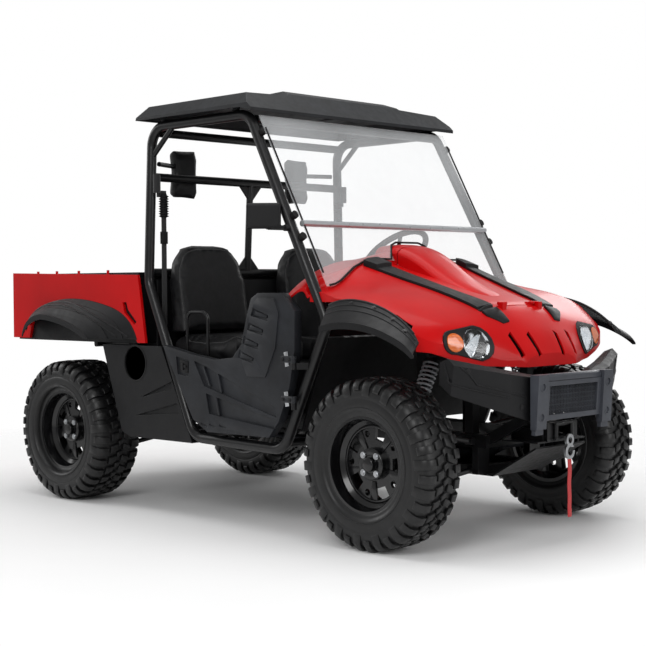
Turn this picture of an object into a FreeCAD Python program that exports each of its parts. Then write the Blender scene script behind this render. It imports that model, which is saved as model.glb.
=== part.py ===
"""A two-seat side by side utility vehicle with a tilting cargo bed.

Millimetres. +X points forward, +Y to the vehicle's left, +Z up. The origin is on the ground,
half way between the axles, on the centre line.
"""

import math
import os

import FreeCAD
import Part

# Wheels, axles and tyres
WHEELBASE = 1950.0
TRACK = 1170.0
TYRE_RADIUS = 330.0
TYRE_SIDES = 36
LUG_DEPTH = 13.0
LUG_MIDDLE_GAP = 14.0
FRONT_TYRE_WIDTH = 216.0
REAR_TYRE_WIDTH = 254.0
RIM_SEAT_RADIUS = 178.0
RIM_LIP_RADIUS = 194.0
RIM_WIDTH = 186.0
RIM_WALL = 7.0
RIM_DISC_DEPTH = 62.0
RIM_DISC_WALL = 14.0
WHEEL_WINDOWS = 5
HUB_RADIUS = 62.0
HUB_BARREL_RADIUS = 34.0
BRAKE_DISC_RADIUS = 90.0
BRAKE_DISC_WALL = 5.0
KINGPIN_OFFSET = 115.0
KINGPIN_HALF_HEIGHT = 108.0
KINGPIN_RADIUS = 19.0
BALL_JOINT_HEIGHT = 26.0
ARM_TUBE_RADIUS = 11.0
PROP_SHAFT_Z = 306.0
PROP_SHAFT_RADIUS = 13.0
GEAR_CASE_RADIUS = 66.0

# Overall ends
FRONT_END = 1475.0
REAR_END = -1475.0

# Clearances
JOINT_GAP = 0.5
SEAT_GAP = 0.3
WELD_GAP = 0.8
PANEL_GAP = 5.0

# Ladder frame
RAIL_Y = 180.0
RAIL_SIZE = 50.0
RAIL_BOTTOM = 370.0
FRAME_FRONT_REACH = 215.0
FRAME_REAR_REACH = 205.0
LOWER_RAIL_Y = 150.0
LOWER_RAIL_SIZE = 30.0
LOWER_RAIL_BOTTOM = 262.0
SUBFRAME_HALF_LENGTH = 175.0
POST_SIZE = 40.0
SKID_WALL = 6.0
SKID_RISE = 122.0
SKID_RISE_LENGTH = 208.0
FRONT_TOWER_TOP = 745.0
FRONT_TOWER_HALF_LENGTH = 125.0
BED_RAIL_TOP = 742.0
BED_RAIL_FRONT = -430.0
BED_HINGE_BEHIND_RAIL = 30.0

# Safety cage
CAGE_Y = 620.0
CAGE_FOOT_SPREAD = 14.0
CAGE_TUBE_RADIUS = 22.0
CAGE_BEND = 90.0
CAGE_LEAN = math.radians(1.7)
CAGE_OUTLINE = [
    (-385.0, 1722.0),
    (-393.0, 1025.0),
    (-60.0, 358.0),
    (500.0, 346.0),
    (733.0, 862.0),
    (262.0, 1722.0),
]
CAGE_TOP = CAGE_OUTLINE[0][1] + CAGE_TUBE_RADIUS
CROSSBAR_Z = 1500.0
SEAT_BAR_Z = 1072.0
SEAT_BAR_X = -414.0
CROSS_BAR_RADIUS = 19.0
CENTRE_POST_RADIUS = 16.0

# Roof
ROOF_HALF_WIDTH = 652.0
ROOF_WALL = 6.0
ROOF_REAR = -432.0
ROOF_FRONT = 330.0
ROOF_BOSS_Y = 594.0

# Windscreen
SCREEN_WALL = 5.0
SCREEN_OFFSET = 40.0
SCREEN_HALF_WIDTH = 590.0
SCREEN_TOP_Z = 1692.0
SCREEN_SPLIT_Z = 1238.0
SCREEN_BOTTOM_Z = 985.0
SCREEN_BODY_GAP = 7.0
SCREEN_RAIL_SIZE = 26.0

# Front bumper
BUMPER_WING_Y = 186.0
MESH_COLUMNS = 16
MESH_ROWS = 6
HORN_INNER_Y = 158.0

# Front body
BODY_WALL = 5.0
BODY_REAR = 500.0
BODY_BOTTOM = 690.0
BODY_EDGE = [(0, 686), (150, 690), (240, 694), (370, 702), (470, 726), (560, 756), (720, 776)]
HOOD_REAR = 664.0
HOOD_FRONT = 1190.0
HOOD_REAR_HALF_WIDTH = 338.0
HOOD_FRONT_HALF_WIDTH = 246.0
HOOD_HINGE_X = 1193.0
HOOD_HINGE_Z = 935.0
HOOD_BARREL_RADIUS = 6.0
HOOD_BARREL_Y = 105.0
HOOD_BARREL_LENGTH = 26.0
STRIP_WIDTH = 88.0
STRIP_HEIGHT = 11.0
STRIP_BLOCK_HEIGHT = 26.0
STRIP_BLOCK_LENGTH = 66.0
STRIP_REAR_Y = 298.0
STRIP_FRONT_Y = 206.0
LAMP_Y = 368.0
LAMP_Z = 786.0
LAMP_RADIUS = 58.0
LAMP_DEPTH = 70.0
BEZEL_MARGIN = 10.0
BEZEL_PROUD = 3.0
INDICATOR_Y = 464.0
INDICATOR_Z = 792.0
INDICATOR_RADIUS = 35.0
LENS_PROUD = 2.0
FLARE_WALL = 5.0
FLARE_INNER_Y = 640.0
FLARE_OUTER_Y = 736.0
FLARE_LIP = 26.0
FLARE_END_CUT = 8.0

# Dampers
SHOCK_TOP_Y = 262.0
SHOCK_TOP_Z = 722.0
SHOCK_LOW_Y = 400.0
SHOCK_LOW_Z = 474.0
SHOCK_EYE_HALF_LENGTH = 17.0

# Pull strap of the winch, with its route from the hook down
STRAP_WIDTH = 24.0
STRAP_THICKNESS = 3.0
STRAP_ROUTE = [
    (1436.0, 0.0, 329.7),
    (1436.0, 5.0, 290.0),
    (1437.0, -4.0, 236.0),
    (1435.0, 4.0, 180.0),
    (1437.0, -2.0, 140.0),
    (1436.0, 2.0, 104.0),
]

# Wheel arch flares, side views: where each meets the body, and its outer lip
FRONT_FLARE_TOP = [(772, 938), (852, 956), (935, 954), (1040, 930), (1135, 886), (1215, 820), (1240, 770)]
FRONT_FLARE_LIP = [(800, 852), (880, 868), (980, 868), (1080, 852), (1180, 818), (1250, 780), (1275, 752)]
REAR_FLARE_TOP = [
    (-1310, 765),
    (-1270, 880),
    (-1150, 930),
    (-1010, 952),
    (-840, 950),
    (-680, 926),
    (-540, 880),
    (-440, 765),
]
REAR_FLARE_LIP = [
    (-1240, 765),
    (-1196, 842),
    (-1110, 878),
    (-1010, 876),
    (-917, 860),
    (-820, 834),
    (-745, 802),
    (-694, 765),
]
# Steps in the rear flares: share of the way out, and rise
FLARE_STEPS = [(0.30, 4.0), (0.62, 7.0)]

# Doors
DOOR_OUTER_Y = 676.0
DOOR_WALL = 40.0
DOOR_HINGE_X = 612.0
DOOR_HINGE_Y = 688.0
DOOR_HINGE_RADIUS = 11.0
DOOR_HINGE_HEIGHT = 26.0
DOOR_HINGE_LEVELS = [545.0, 704.0]
DOOR_RAISE = 7.0
DOOR_SLOT_DEPTH = 9.0
DOOR_BAND_DEPTH = 12.0
DOOR_OUTLINE = [
    (-222, 752),
    (-30, 718),
    (118, 700),
    (236, 712),
    (292, 770),
    (326, 890),
    (352, 958),
    (392, 980),
    (528, 980),
    (606, 908),
    (604, 754),
    (572, 600),
    (512, 466),
    (452, 396),
    (72, 392),
    (-20, 440),
]
DOOR_RAISED_FRONT = [
    (300, 700),
    (322, 780),
    (352, 884),
    (376, 942),
    (402, 962),
    (490, 958),
    (520, 900),
    (500, 760),
    (440, 640),
    (330, 640),
]

# Cargo bed
BED_FRONT = -446.0
BED_REAR = -1446.0
BED_HALF_WIDTH = 632.0
BED_FLOOR_Z = 752.0
BED_FLOOR_WALL = 30.0
BED_TOP_Z = 1074.0
BED_WALL = 22.0
BED_HINGE_SETBACK = 146.0
BED_HINGE_Z = 716.0
BED_BOSS_RADIUS = 14.0
BED_BOSS_Y = 225.0
TAILGATE_HINGE_SETBACK = 6.0
TAILGATE_HINGE_Z = 764.0
TAILGATE_BARREL_RADIUS = 9.0
TAILGATE_BARREL_Y = 330.0
SIDE_PANEL_WALL = 14.0
SIDE_PANEL_INNER_Y = 604.0
SIDE_PANEL_OUTER_Y = 648.0
TAILGATE_WALL = 26.0
BED_KNOBS = [-1240.0, -1080.0, -900.0, -670.0]
TAILGATE_HALF_WIDTH = 560.0

# Cab
FLOOR_Z = 420.3
FLOOR_WALL = 10.0
CAB_HALF_WIDTH = 584.0
SEAT_BASE_TOP = 656.0
SEAT_WIDTH = 430.0
SEAT_Y = 330.0
CUSHION_TOP = 790.0
STEERING_WHEEL_CENTRE = (245.0, 330.0, 1150.0)
STEERING_WHEEL_RADIUS = 162.0
STEERING_RIM_RADIUS = 14.0
STEERING_TILT = math.radians(50.0)
COLUMN_RADIUS = 16.0
COLUMN_HOLE_GAP = 6.0
RACK_OFFSET = 112.0
RACK_Z = 345.0
RACK_RADIUS = 9.0
RACK_HOUSING_RADIUS = 20.0
RACK_FIT = 0.05

# Mirror
MIRROR_CENTRE = (440.0, -684.0, 1290.0)
MIRROR_TURN = 45.0

# Hitch
RECEIVER_OUTER = 63.5
RECEIVER_INNER = 51.0
RECEIVER_Z = 395.0
HITCH_PIN_RADIUS = 8.0
HITCH_PIN_X = -1430.0

FRONT_AXLE_X = WHEELBASE / 2
REAR_AXLE_X = -WHEELBASE / 2
WHEEL_Y = TRACK / 2
AXLE_Z = TYRE_RADIUS
KINGPIN_Y = WHEEL_Y - KINGPIN_OFFSET
RAIL_TOP = RAIL_BOTTOM + RAIL_SIZE
RAIL_FRONT = FRONT_AXLE_X + FRAME_FRONT_REACH
RAIL_REAR = REAR_AXLE_X - FRAME_REAR_REACH
BED_HINGE_X = BED_REAR + BED_HINGE_SETBACK
BED_RAIL_REAR = BED_HINGE_X + BED_HINGE_BEHIND_RAIL
TAILGATE_HINGE_X = BED_REAR + TAILGATE_HINGE_SETBACK
X_AXIS = FreeCAD.Vector(1, 0, 0)
Y_AXIS = FreeCAD.Vector(0, 1, 0)
Z_AXIS = FreeCAD.Vector(0, 0, 1)


def vec(x, y, z):
    return FreeCAD.Vector(x, y, z)


def box(x0, x1, y0, y1, z0, z1):
    return Part.makeBox(x1 - x0, y1 - y0, z1 - z0, vec(x0, y0, z0))


def cylinder(start, end, radius):
    start = FreeCAD.Vector(*start)
    end = FreeCAD.Vector(*end)
    along = end - start
    return Part.makeCylinder(radius, along.Length, start, along)


def polygon_face(points):
    return Part.Face(Part.makePolygon(points + points[:1]))


def prism_y(outline, y0, y1):
    """Solid whose side view is the outline of (x, z) points."""
    face = polygon_face([vec(x, y0, z) for x, z in outline])
    return face.extrude(vec(0, y1 - y0, 0))


def prism_x(outline, x0, x1):
    """Solid whose front view is the outline of (y, z) points."""
    face = polygon_face([vec(x0, y, z) for y, z in outline])
    return face.extrude(vec(x1 - x0, 0, 0))


def prism_z(outline, z0, z1):
    """Solid whose plan view is the outline of (x, y) points."""
    face = polygon_face([vec(x, y, z0) for x, y in outline])
    return face.extrude(vec(0, 0, z1 - z0))


def mirrored(shape):
    return shape.mirror(vec(0, 0, 0), Y_AXIS)


def both_sides(shape):
    return [shape, mirrored(shape)]


def fused(shapes):
    result = shapes[0].multiFuse(shapes[1:]) if len(shapes) > 1 else shapes[0]
    return result.removeSplitter()


def grouped(shapes):
    solids = []
    for shape in shapes:
        solids += shape.Solids
    return Part.makeCompound(solids)


def rounded_wire(points, bend, closed=False):
    """Straight runs joined by tangent arcs of one bend radius."""
    points = [FreeCAD.Vector(*p) for p in points]
    count = len(points)
    corners = range(count) if closed else range(1, count - 1)
    edges = []
    last = None if closed else points[0]
    first = None
    for index in corners:
        corner = points[index]
        before = (points[index - 1] - corner).normalize()
        after = (points[(index + 1) % count] - corner).normalize()
        half = before.getAngle(after) / 2
        reach = bend / math.tan(half)
        start = corner + before * reach
        end = corner + after * reach
        middle_way = (before + after).normalize()
        middle = corner + middle_way * (bend / math.sin(half) - bend)
        if last is not None:
            edges.append(Part.LineSegment(last, start).toShape())
        else:
            first = start
        edges.append(Part.Arc(start, middle, end).toShape())
        last = end
    if closed:
        edges.append(Part.LineSegment(last, first).toShape())
    else:
        edges.append(Part.LineSegment(last, points[-1]).toShape())
    return Part.Wire(edges)


def bent_tube(points, radius, bend, closed=False):
    path = rounded_wire(points, bend, closed)
    edge = path.Edges[0]
    start = edge.valueAt(edge.FirstParameter)
    along = edge.tangentAt(edge.FirstParameter)
    circle = Part.Wire(Part.makeCircle(radius, start, along))
    tube = path.makePipeShell([circle], True, False)
    return Part.Solid(tube) if closed else tube


def lofted(sections, ruled=False):
    return Part.makeLoft(sections, True, ruled)


def spline_section(x, half_points, bottom):
    """Closed cross section at x: a smooth symmetric top over two straight sides."""
    right = [vec(x, -y, z) for y, z in reversed(half_points)]
    left = [vec(x, y, z) for y, z in half_points[1:]]
    top = right + left
    curve = Part.BSplineCurve()
    curve.interpolate(top)
    low_left = vec(x, top[-1].y, bottom)
    low_right = vec(x, top[0].y, bottom)
    return Part.Wire(
        [
            curve.toShape(),
            Part.LineSegment(top[-1], low_left).toShape(),
            Part.LineSegment(low_left, low_right).toShape(),
            Part.LineSegment(low_right, top[0]).toShape(),
        ]
    )


def cage_point(x, z):
    """Centre of the right-hand hoop's tube at a height."""
    return vec(x, -(CAGE_Y + CAGE_FOOT_SPREAD - (z - CAGE_OUTLINE[3][1]) * math.tan(CAGE_LEAN)), z)


def cage_loop(radius):
    """The right-hand hoop, as a tube of the given radius."""
    return bent_tube([cage_point(x, z) for x, z in CAGE_OUTLINE], radius, CAGE_BEND, True)


def cage_y(z):
    return -cage_point(0, z).y


def pillar_x(z):
    """Centre line of the front pillar at a height."""
    (x0, z0), (x1, z1) = CAGE_OUTLINE[4], CAGE_OUTLINE[5]
    return x0 + (x1 - x0) * (z - z0) / (z1 - z0)


def cage_sides():
    """Right and left hoops with the brace at the rear roof corner and the fixed door hinges."""
    loop = cage_loop(CAGE_TUBE_RADIUS)
    brace = cylinder(cage_point(-236, 1716), cage_point(-391, 1580), 12.0)
    side = fused([loop, brace])
    for level in DOOR_HINGE_LEVELS:
        low = level - DOOR_HINGE_HEIGHT - JOINT_GAP
        barrel = Part.makeCylinder(
            DOOR_HINGE_RADIUS, DOOR_HINGE_HEIGHT, vec(DOOR_HINGE_X, -DOOR_HINGE_Y, low)
        )
        (x0, z0), (x1, z1) = CAGE_OUTLINE[3], CAGE_OUTLINE[4]
        tube_x = x0 + (x1 - x0) * (low + DOOR_HINGE_HEIGHT / 2 - z0) / (z1 - z0)
        leaf = prism_z(
            [
                (DOOR_HINGE_X, -DOOR_HINGE_Y - 3),
                (DOOR_HINGE_X, -DOOR_HINGE_Y + 3),
                (tube_x - 6, -CAGE_Y),
                (tube_x + 6, -CAGE_Y - 10),
            ],
            low,
            low + DOOR_HINGE_HEIGHT,
        )
        side = side.fuse([barrel, leaf])
    return grouped(both_sides(side.removeSplitter()))


def cage_cross_bars():
    """Bars between the two hoops, and the post with gussets behind the seats."""
    bars = []
    for x, z in [(pillar_x(1700), 1700.0), (-359.0, 1696.0), (-389.0, CROSSBAR_Z)]:
        reach = cage_y(z) - CAGE_TUBE_RADIUS - WELD_GAP
        bars.append(cylinder((x, -reach, z), (x, reach, z), CROSS_BAR_RADIUS))
    reach = cage_y(SEAT_BAR_Z) - CAGE_TUBE_RADIUS - WELD_GAP
    bars.append(
        cylinder((SEAT_BAR_X, -reach, SEAT_BAR_Z), (SEAT_BAR_X, reach, SEAT_BAR_Z), CROSS_BAR_RADIUS)
    )
    post = cylinder((-389.0, 0, CROSSBAR_Z), (SEAT_BAR_X, 0, SEAT_BAR_Z), CENTRE_POST_RADIUS)
    upper = prism_x([(-80, 1496), (80, 1496), (14, 1420), (-14, 1420)], -393, -385)
    lower = prism_x([(-80, 1076), (80, 1076), (14, 1150), (-14, 1150)], -416, -408)
    rear = fused(bars[2:] + [post, upper, lower])
    return grouped(bars[:2] + [rear])


def chassis_frame():
    """Ladder frame with a drop subframe at each axle, bed rails and shock towers."""
    pieces = []
    right = []
    y0 = RAIL_Y - RAIL_SIZE / 2
    y1 = RAIL_Y + RAIL_SIZE / 2
    right.append(box(RAIL_REAR, RAIL_FRONT, y0, y1, RAIL_BOTTOM, RAIL_TOP))
    for x, z in [(-40.0, 358.0), (440.0, 348.0)]:
        end = cage_y(z) - CAGE_TUBE_RADIUS - WELD_GAP
        right.append(cylinder((x, 0, z + 14), (x, end, z + 14), 17.0))
    half = POST_SIZE / 2
    low_y0 = LOWER_RAIL_Y - LOWER_RAIL_SIZE / 2
    low_y1 = LOWER_RAIL_Y + LOWER_RAIL_SIZE / 2
    low_top = LOWER_RAIL_BOTTOM + LOWER_RAIL_SIZE
    for axle in (FRONT_AXLE_X, REAR_AXLE_X):
        front = axle + SUBFRAME_HALF_LENGTH
        rear = axle - SUBFRAME_HALF_LENGTH
        right.append(box(rear, front, low_y0, low_y1, LOWER_RAIL_BOTTOM, low_top))
        for x in (rear, front - LOWER_RAIL_SIZE):
            right.append(box(x, x + LOWER_RAIL_SIZE, low_y0, y1, LOWER_RAIL_BOTTOM, RAIL_BOTTOM))
            pieces.append(
                box(x, x + LOWER_RAIL_SIZE, -low_y0, low_y0, LOWER_RAIL_BOTTOM, low_top)
            )
    for x in (FRONT_AXLE_X - FRONT_TOWER_HALF_LENGTH, FRONT_AXLE_X + FRONT_TOWER_HALF_LENGTH):
        right.append(box(x - half, x + half, RAIL_Y - half, RAIL_Y + half, RAIL_TOP, FRONT_TOWER_TOP))
        pieces.append(
            box(x - half, x + half, -RAIL_Y, RAIL_Y, FRONT_TOWER_TOP - POST_SIZE, FRONT_TOWER_TOP)
        )
    right.append(
        box(
            FRONT_AXLE_X - FRONT_TOWER_HALF_LENGTH,
            FRONT_AXLE_X + FRONT_TOWER_HALF_LENGTH,
            RAIL_Y - half,
            RAIL_Y + half,
            FRONT_TOWER_TOP - POST_SIZE,
            FRONT_TOWER_TOP,
        )
    )
    for x in (BED_RAIL_FRONT - 60, REAR_AXLE_X, BED_RAIL_REAR + 110):
        right.append(box(x - half, x + half, RAIL_Y - half, RAIL_Y + half, RAIL_TOP, BED_RAIL_TOP))
    bed_z0 = BED_RAIL_TOP - POST_SIZE
    right.append(
        box(BED_RAIL_REAR, BED_RAIL_FRONT, RAIL_Y - half, RAIL_Y + half, bed_z0, BED_RAIL_TOP)
    )
    for x in (BED_RAIL_REAR, BED_RAIL_FRONT - POST_SIZE):
        pieces.append(box(x, x + POST_SIZE, -RAIL_Y, RAIL_Y, bed_z0, BED_RAIL_TOP))
    for x in (RAIL_REAR, -640.0, -65.0, 415.0, RAIL_FRONT - RAIL_SIZE):
        pieces.append(box(x, x + RAIL_SIZE, -RAIL_Y, RAIL_Y, RAIL_BOTTOM, RAIL_TOP))
    horn = prism_y(
        [(RAIL_FRONT - 20, 372), (RAIL_FRONT - 20, 418), (1400, 540), (1400, 494)],
        HORN_INNER_Y,
        BUMPER_WING_Y - SEAT_GAP,
    )
    right.append(horn)
    right.append(bed_hinge_boss())
    right.append(box(-500, -460, RAIL_Y - 15, RAIL_Y + 15, BED_RAIL_TOP, BED_FLOOR_Z - SEAT_GAP))
    for axle in (FRONT_AXLE_X, REAR_AXLE_X):
        for way in (-1, 1):
            near = axle + way * (SHOCK_EYE_HALF_LENGTH + SEAT_GAP)
            far = near + way * 6
            right.append(
                box(
                    min(near, far), max(near, far), RAIL_Y, SHOCK_TOP_Y + 12, SHOCK_TOP_Z - 12, SHOCK_TOP_Z + 16
                )
            )
    for shape in right:
        pieces += both_sides(shape)
    return fused(pieces)


def bed_hinge_boss():
    """Fixed half of the bed's hinge, at the end of the bed rail."""
    boss = cylinder(
        (BED_HINGE_X, RAIL_Y - 14, BED_HINGE_Z), (BED_HINGE_X, BED_BOSS_Y, BED_HINGE_Z), BED_BOSS_RADIUS
    )
    half = POST_SIZE / 2
    web = box(
        BED_HINGE_X, BED_RAIL_REAR + 10, RAIL_Y - half + 2, RAIL_Y + half - 2, BED_HINGE_Z - 10, BED_HINGE_Z + 10
    )
    return boss.fuse(web)


def roof_panel():
    """Moulded roof: sloped rim, raised middle and open underside."""

    def outer(inset):
        side = prism_y(
            [
                (ROOF_REAR + inset, 1750 - 20 * (inset > 0)),
                (ROOF_REAR + 4 + inset, 1762),
                (-386 + inset, 1816 - inset),
                (-150, 1835 - inset),
                (180, 1850 - inset),
                (238 - inset, 1830 - inset),
                (ROOF_FRONT - inset, 1742),
                (ROOF_FRONT - inset, 1728 - 20 * (inset > 0)),
                (262, 1746 - 20 * (inset > 0)),
            ],
            -ROOF_HALF_WIDTH,
            ROOF_HALF_WIDTH,
        )
        w = ROOF_HALF_WIDTH - inset
        front = prism_x(
            [
                (-w, 1700),
                (-w, 1762),
                (-w + 44, 1812 - inset),
                (-360, 1822 - inset),
                (-320, 1852 - inset),
                (320, 1852 - inset),
                (360, 1822 - inset),
                (w - 44, 1812 - inset),
                (w, 1762),
                (w, 1700),
            ],
            ROOF_REAR - 10,
            ROOF_FRONT + 10,
        )
        return side.common(front)

    whole = outer(0.0)
    bosses = []
    for x in (-300.0, 180.0):
        foot = cylinder((x, ROOF_BOSS_Y, CAGE_TOP + SEAT_GAP), (x, ROOF_BOSS_Y, 1766), 16.0)
        boss = cylinder((x, ROOF_BOSS_Y, 1760), (x, ROOF_BOSS_Y, 1900), 16.0).common(whole)
        bosses += both_sides(foot) + both_sides(boss)
    return fused([whole.cut(outer(ROOF_WALL))] + bosses)


def screen_point(z, ahead_by):
    """Point on the centre line, ahead of the pillars' line by a distance square to it."""
    (x0, z0), (x1, z1) = CAGE_OUTLINE[4], CAGE_OUTLINE[5]
    length = math.hypot(x1 - x0, z1 - z0)
    return vec(pillar_x(z) + ahead_by * (z1 - z0) / length, 0, z + ahead_by * (x0 - x1) / length)


def screen_sheet(z_top, z_bottom):
    """One pane, lying in front of the pillars and parallel to them."""
    corners = [
        screen_point(z_bottom, SCREEN_OFFSET),
        screen_point(z_top, SCREEN_OFFSET),
        screen_point(z_top, SCREEN_OFFSET + SCREEN_WALL),
        screen_point(z_bottom, SCREEN_OFFSET + SCREEN_WALL),
    ]
    return prism_y([(point.x, point.z) for point in corners], -SCREEN_HALF_WIDTH, SCREEN_HALF_WIDTH)


def windscreen_panes():
    """Upper and lower pane. The lower one is cut to the front body's contour."""
    (x0, z0), (x1, z1) = CAGE_OUTLINE[4], CAGE_OUTLINE[5]
    rise = (z1 - z0) / math.hypot(x1 - x0, z1 - z0)
    gap = (SCREEN_RAIL_SIZE / 2 + SEAT_GAP) * rise
    upper = screen_sheet(SCREEN_TOP_Z, SCREEN_SPLIT_Z + gap)
    lower = screen_sheet(SCREEN_SPLIT_Z - gap, SCREEN_BOTTOM_Z)
    body = body_solid(0.0).fuse(scoop(0.0))
    body.translate(vec(0, 0, SCREEN_BODY_GAP))
    lower = lower.cut(body)
    lower = sorted(lower.Solids, key=lambda solid: -solid.Volume)[0]
    return grouped([upper, lower])


def windscreen_rail():
    """Hinge profile between the panes."""
    centre = screen_point(SCREEN_SPLIT_Z, SCREEN_OFFSET + SCREEN_WALL / 2)
    radius = SCREEN_RAIL_SIZE / 2
    start = vec(centre.x, -SCREEN_HALF_WIDTH, centre.z)
    end = vec(centre.x, SCREEN_HALF_WIDTH, centre.z)
    return cylinder(start, end, radius)


def windscreen_clamps():
    """Rubber-lined clamps that grip each pillar and carry the panes."""
    clamps = []
    for z in (1630.0, 1278.0, 1190.0):
        inner = screen_point(z, CAGE_TUBE_RADIUS + SEAT_GAP)
        outer = screen_point(z, SCREEN_OFFSET - SEAT_GAP)
        y = cage_y(z)
        pad = cylinder((inner.x, -y + 6, inner.z), (outer.x, -y + 6, outer.z), 16.0)
        clamps += both_sides(pad)
    return grouped(clamps)


BODY_STATIONS = [
    (500, [(0, 1120), (150, 1118), (285, 1112), (430, 1075), (550, 1015), (632, 955)]),
    (640, [(0, 1112), (150, 1112), (285, 1108), (430, 1068), (555, 1012), (640, 958)]),
    (800, [(0, 1052), (150, 1052), (280, 1050), (425, 1022), (560, 988), (645, 960)]),
    (950, [(0, 1002), (150, 1002), (270, 1000), (420, 986), (560, 972), (645, 952)]),
    (1090, [(0, 958), (140, 957), (255, 952), (400, 935), (540, 915), (635, 888)]),
    (1200, [(0, 922), (130, 918), (230, 905), (370, 880), (500, 850), (575, 805)]),
    (1245, [(0, 888), (120, 884), (220, 870), (330, 848), (415, 820), (470, 780)]),
    (1282, [(0, 850), (105, 845), (190, 830), (270, 805), (315, 775), (340, 745)]),
    (1325, [(0, 795), (90, 790), (150, 780), (195, 765), (222, 745), (236, 718)]),
    (1356, [(0, 740), (60, 738), (100, 734), (132, 726), (152, 716), (164, 704)]),
]


SCOOP_STATIONS = [
    (540, 258, 1180),
    (620, 256, 1180),
    (700, 250, 1160),
    (800, 236, 1106),
    (960, 206, 1012),
    (1100, 170, 946),
]


def body_solid(inset):
    """Outer form of the front body, drawn in by the inset."""
    sections = []
    for x, points in BODY_STATIONS:
        half = [(y * (1 - inset / points[-1][0]), z - inset) for y, z in points]
        station = x - inset if x > BODY_STATIONS[0][0] else x
        sections.append(spline_section(station, half, BODY_BOTTOM - 4 * inset))
    return lofted(sections)


def hood_zone(gap):
    """Upright block round the hood's outline in plan, wider by the gap."""
    return prism_z(
        [
            (HOOD_REAR - gap, -HOOD_REAR_HALF_WIDTH - gap),
            (HOOD_REAR - gap, HOOD_REAR_HALF_WIDTH + gap),
            (HOOD_FRONT + gap, HOOD_FRONT_HALF_WIDTH + gap),
            (HOOD_FRONT + gap, -HOOD_FRONT_HALF_WIDTH - gap),
        ],
        860,
        1300,
    )


def scoop(inset):
    """Raised centre of the hood, deepest at the windscreen."""
    sections = []
    for x, full_width, top in SCOOP_STATIONS:
        half_width = full_width / 2 - inset
        z = top - inset
        points = [(0, z), (half_width * 0.6, z - 4), (half_width * 0.85, z - 14), (half_width, z - 34)]
        sections.append(spline_section(x, points, z - 90))
    return lofted(sections)


def body_skin():
    outer = body_solid(0.0).fuse(scoop(0.0))
    rear_cut = box(400, BODY_REAR + 40, -150, 150, 1125, 1300)
    inner = body_solid(BODY_WALL).fuse(scoop(BODY_WALL))
    skin = outer.cut(inner).cut(rear_cut)
    arch = [
        (480, 600),
        (480, 944),
        (780, 944),
        (860, 952),
        (940, 944),
        (1090, 896),
        (1150, 856),
        (1172, 800),
        (1178, 600),
    ]
    wheel_well = prism_y(arch, 430, 720)
    back = box(480, 1000, -720, 720, 600, 880)
    edge = [(-y, z) for y, z in reversed(BODY_EDGE)] + BODY_EDGE[1:]
    below = prism_x(edge + [(720, 600), (-720, 600)], 990, 1400)
    return skin.cut([wheel_well, mirrored(wheel_well), back, below])


def front_cowl(skin):
    cowl = skin.cut(hood_zone(PANEL_GAP))
    solids = sorted(cowl.Solids, key=lambda solid: -solid.Volume)
    slots = []
    for y in (80.0, 178.0):
        slot = prism_x([(y - 14, 735), (y + 6, 725), (y + 22, 812), (y, 826)], 1200, 1400)
        slots += both_sides(slot)
    lamp = lamp_outline(SEAT_GAP)
    hoop = cage_loop(CAGE_TUBE_RADIUS + WELD_GAP)
    shape = solids[0].cut(slots + both_sides(lamp) + both_sides(hoop))
    door_room = box(480, 648, 626, 760, 600, 1300)
    shape = shape.cut(both_sides(door_room))
    body = sorted(shape.Solids, key=lambda solid: -solid.Volume)[0]
    hinges = []
    y0 = HOOD_BARREL_Y
    y1 = HOOD_BARREL_Y + HOOD_BARREL_LENGTH
    hinges.append(
        cylinder((HOOD_HINGE_X, y0, HOOD_HINGE_Z), (HOOD_HINGE_X, y1, HOOD_HINGE_Z), HOOD_BARREL_RADIUS)
    )
    hinges.append(box(HOOD_HINGE_X, HOOD_HINGE_X + 22, y0, y1, HOOD_HINGE_Z - 30, HOOD_HINGE_Z + 3))
    return fused([body] + both_sides(hinges[0]) + both_sides(hinges[1]))


def hood_panel(skin):
    hood = skin.common(hood_zone(0.0))
    panel = sorted(hood.Solids, key=lambda solid: -solid.Volume)[0]
    y1 = HOOD_BARREL_Y - JOINT_GAP
    y0 = y1 - HOOD_BARREL_LENGTH
    barrel = cylinder((HOOD_HINGE_X, y0, HOOD_HINGE_Z), (HOOD_HINGE_X, y1, HOOD_HINGE_Z), HOOD_BARREL_RADIUS)
    leaf = box(HOOD_HINGE_X - 26, HOOD_HINGE_X, y0, y1, HOOD_HINGE_Z - 14, HOOD_HINGE_Z + 3)
    return fused([panel] + both_sides(barrel) + both_sides(leaf))


def strip_block(x0, x1):
    span = HOOD_FRONT - HOOD_REAR

    def centre(x):
        return STRIP_REAR_Y + (STRIP_FRONT_Y - STRIP_REAR_Y) * (x - HOOD_REAR) / span

    half = STRIP_WIDTH / 2
    return prism_z(
        [
            (x0, centre(x0) - half),
            (x1, centre(x1) - half),
            (x1, centre(x1) + half),
            (x0, centre(x0) + half),
        ],
        860,
        1300,
    )


def hood_strips():
    """Black strips along the hood's edges, seated on its skin, each with a raised rear block."""
    base = body_solid(0.0)
    base.translate(vec(0, 0, SEAT_GAP))
    layer = body_solid(0.0)
    layer.translate(vec(0, 0, STRIP_HEIGHT))
    thick = body_solid(0.0)
    thick.translate(vec(0, 0, STRIP_BLOCK_HEIGHT))
    rear = HOOD_REAR + 4
    ahead = box(rear + STRIP_BLOCK_LENGTH, HOOD_FRONT + 20, 0, 400, 800, 1300).cut(layer)
    strip = thick.common(strip_block(rear, HOOD_FRONT - 6)).cut([base, ahead])
    return grouped(both_sides(strip))


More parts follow.
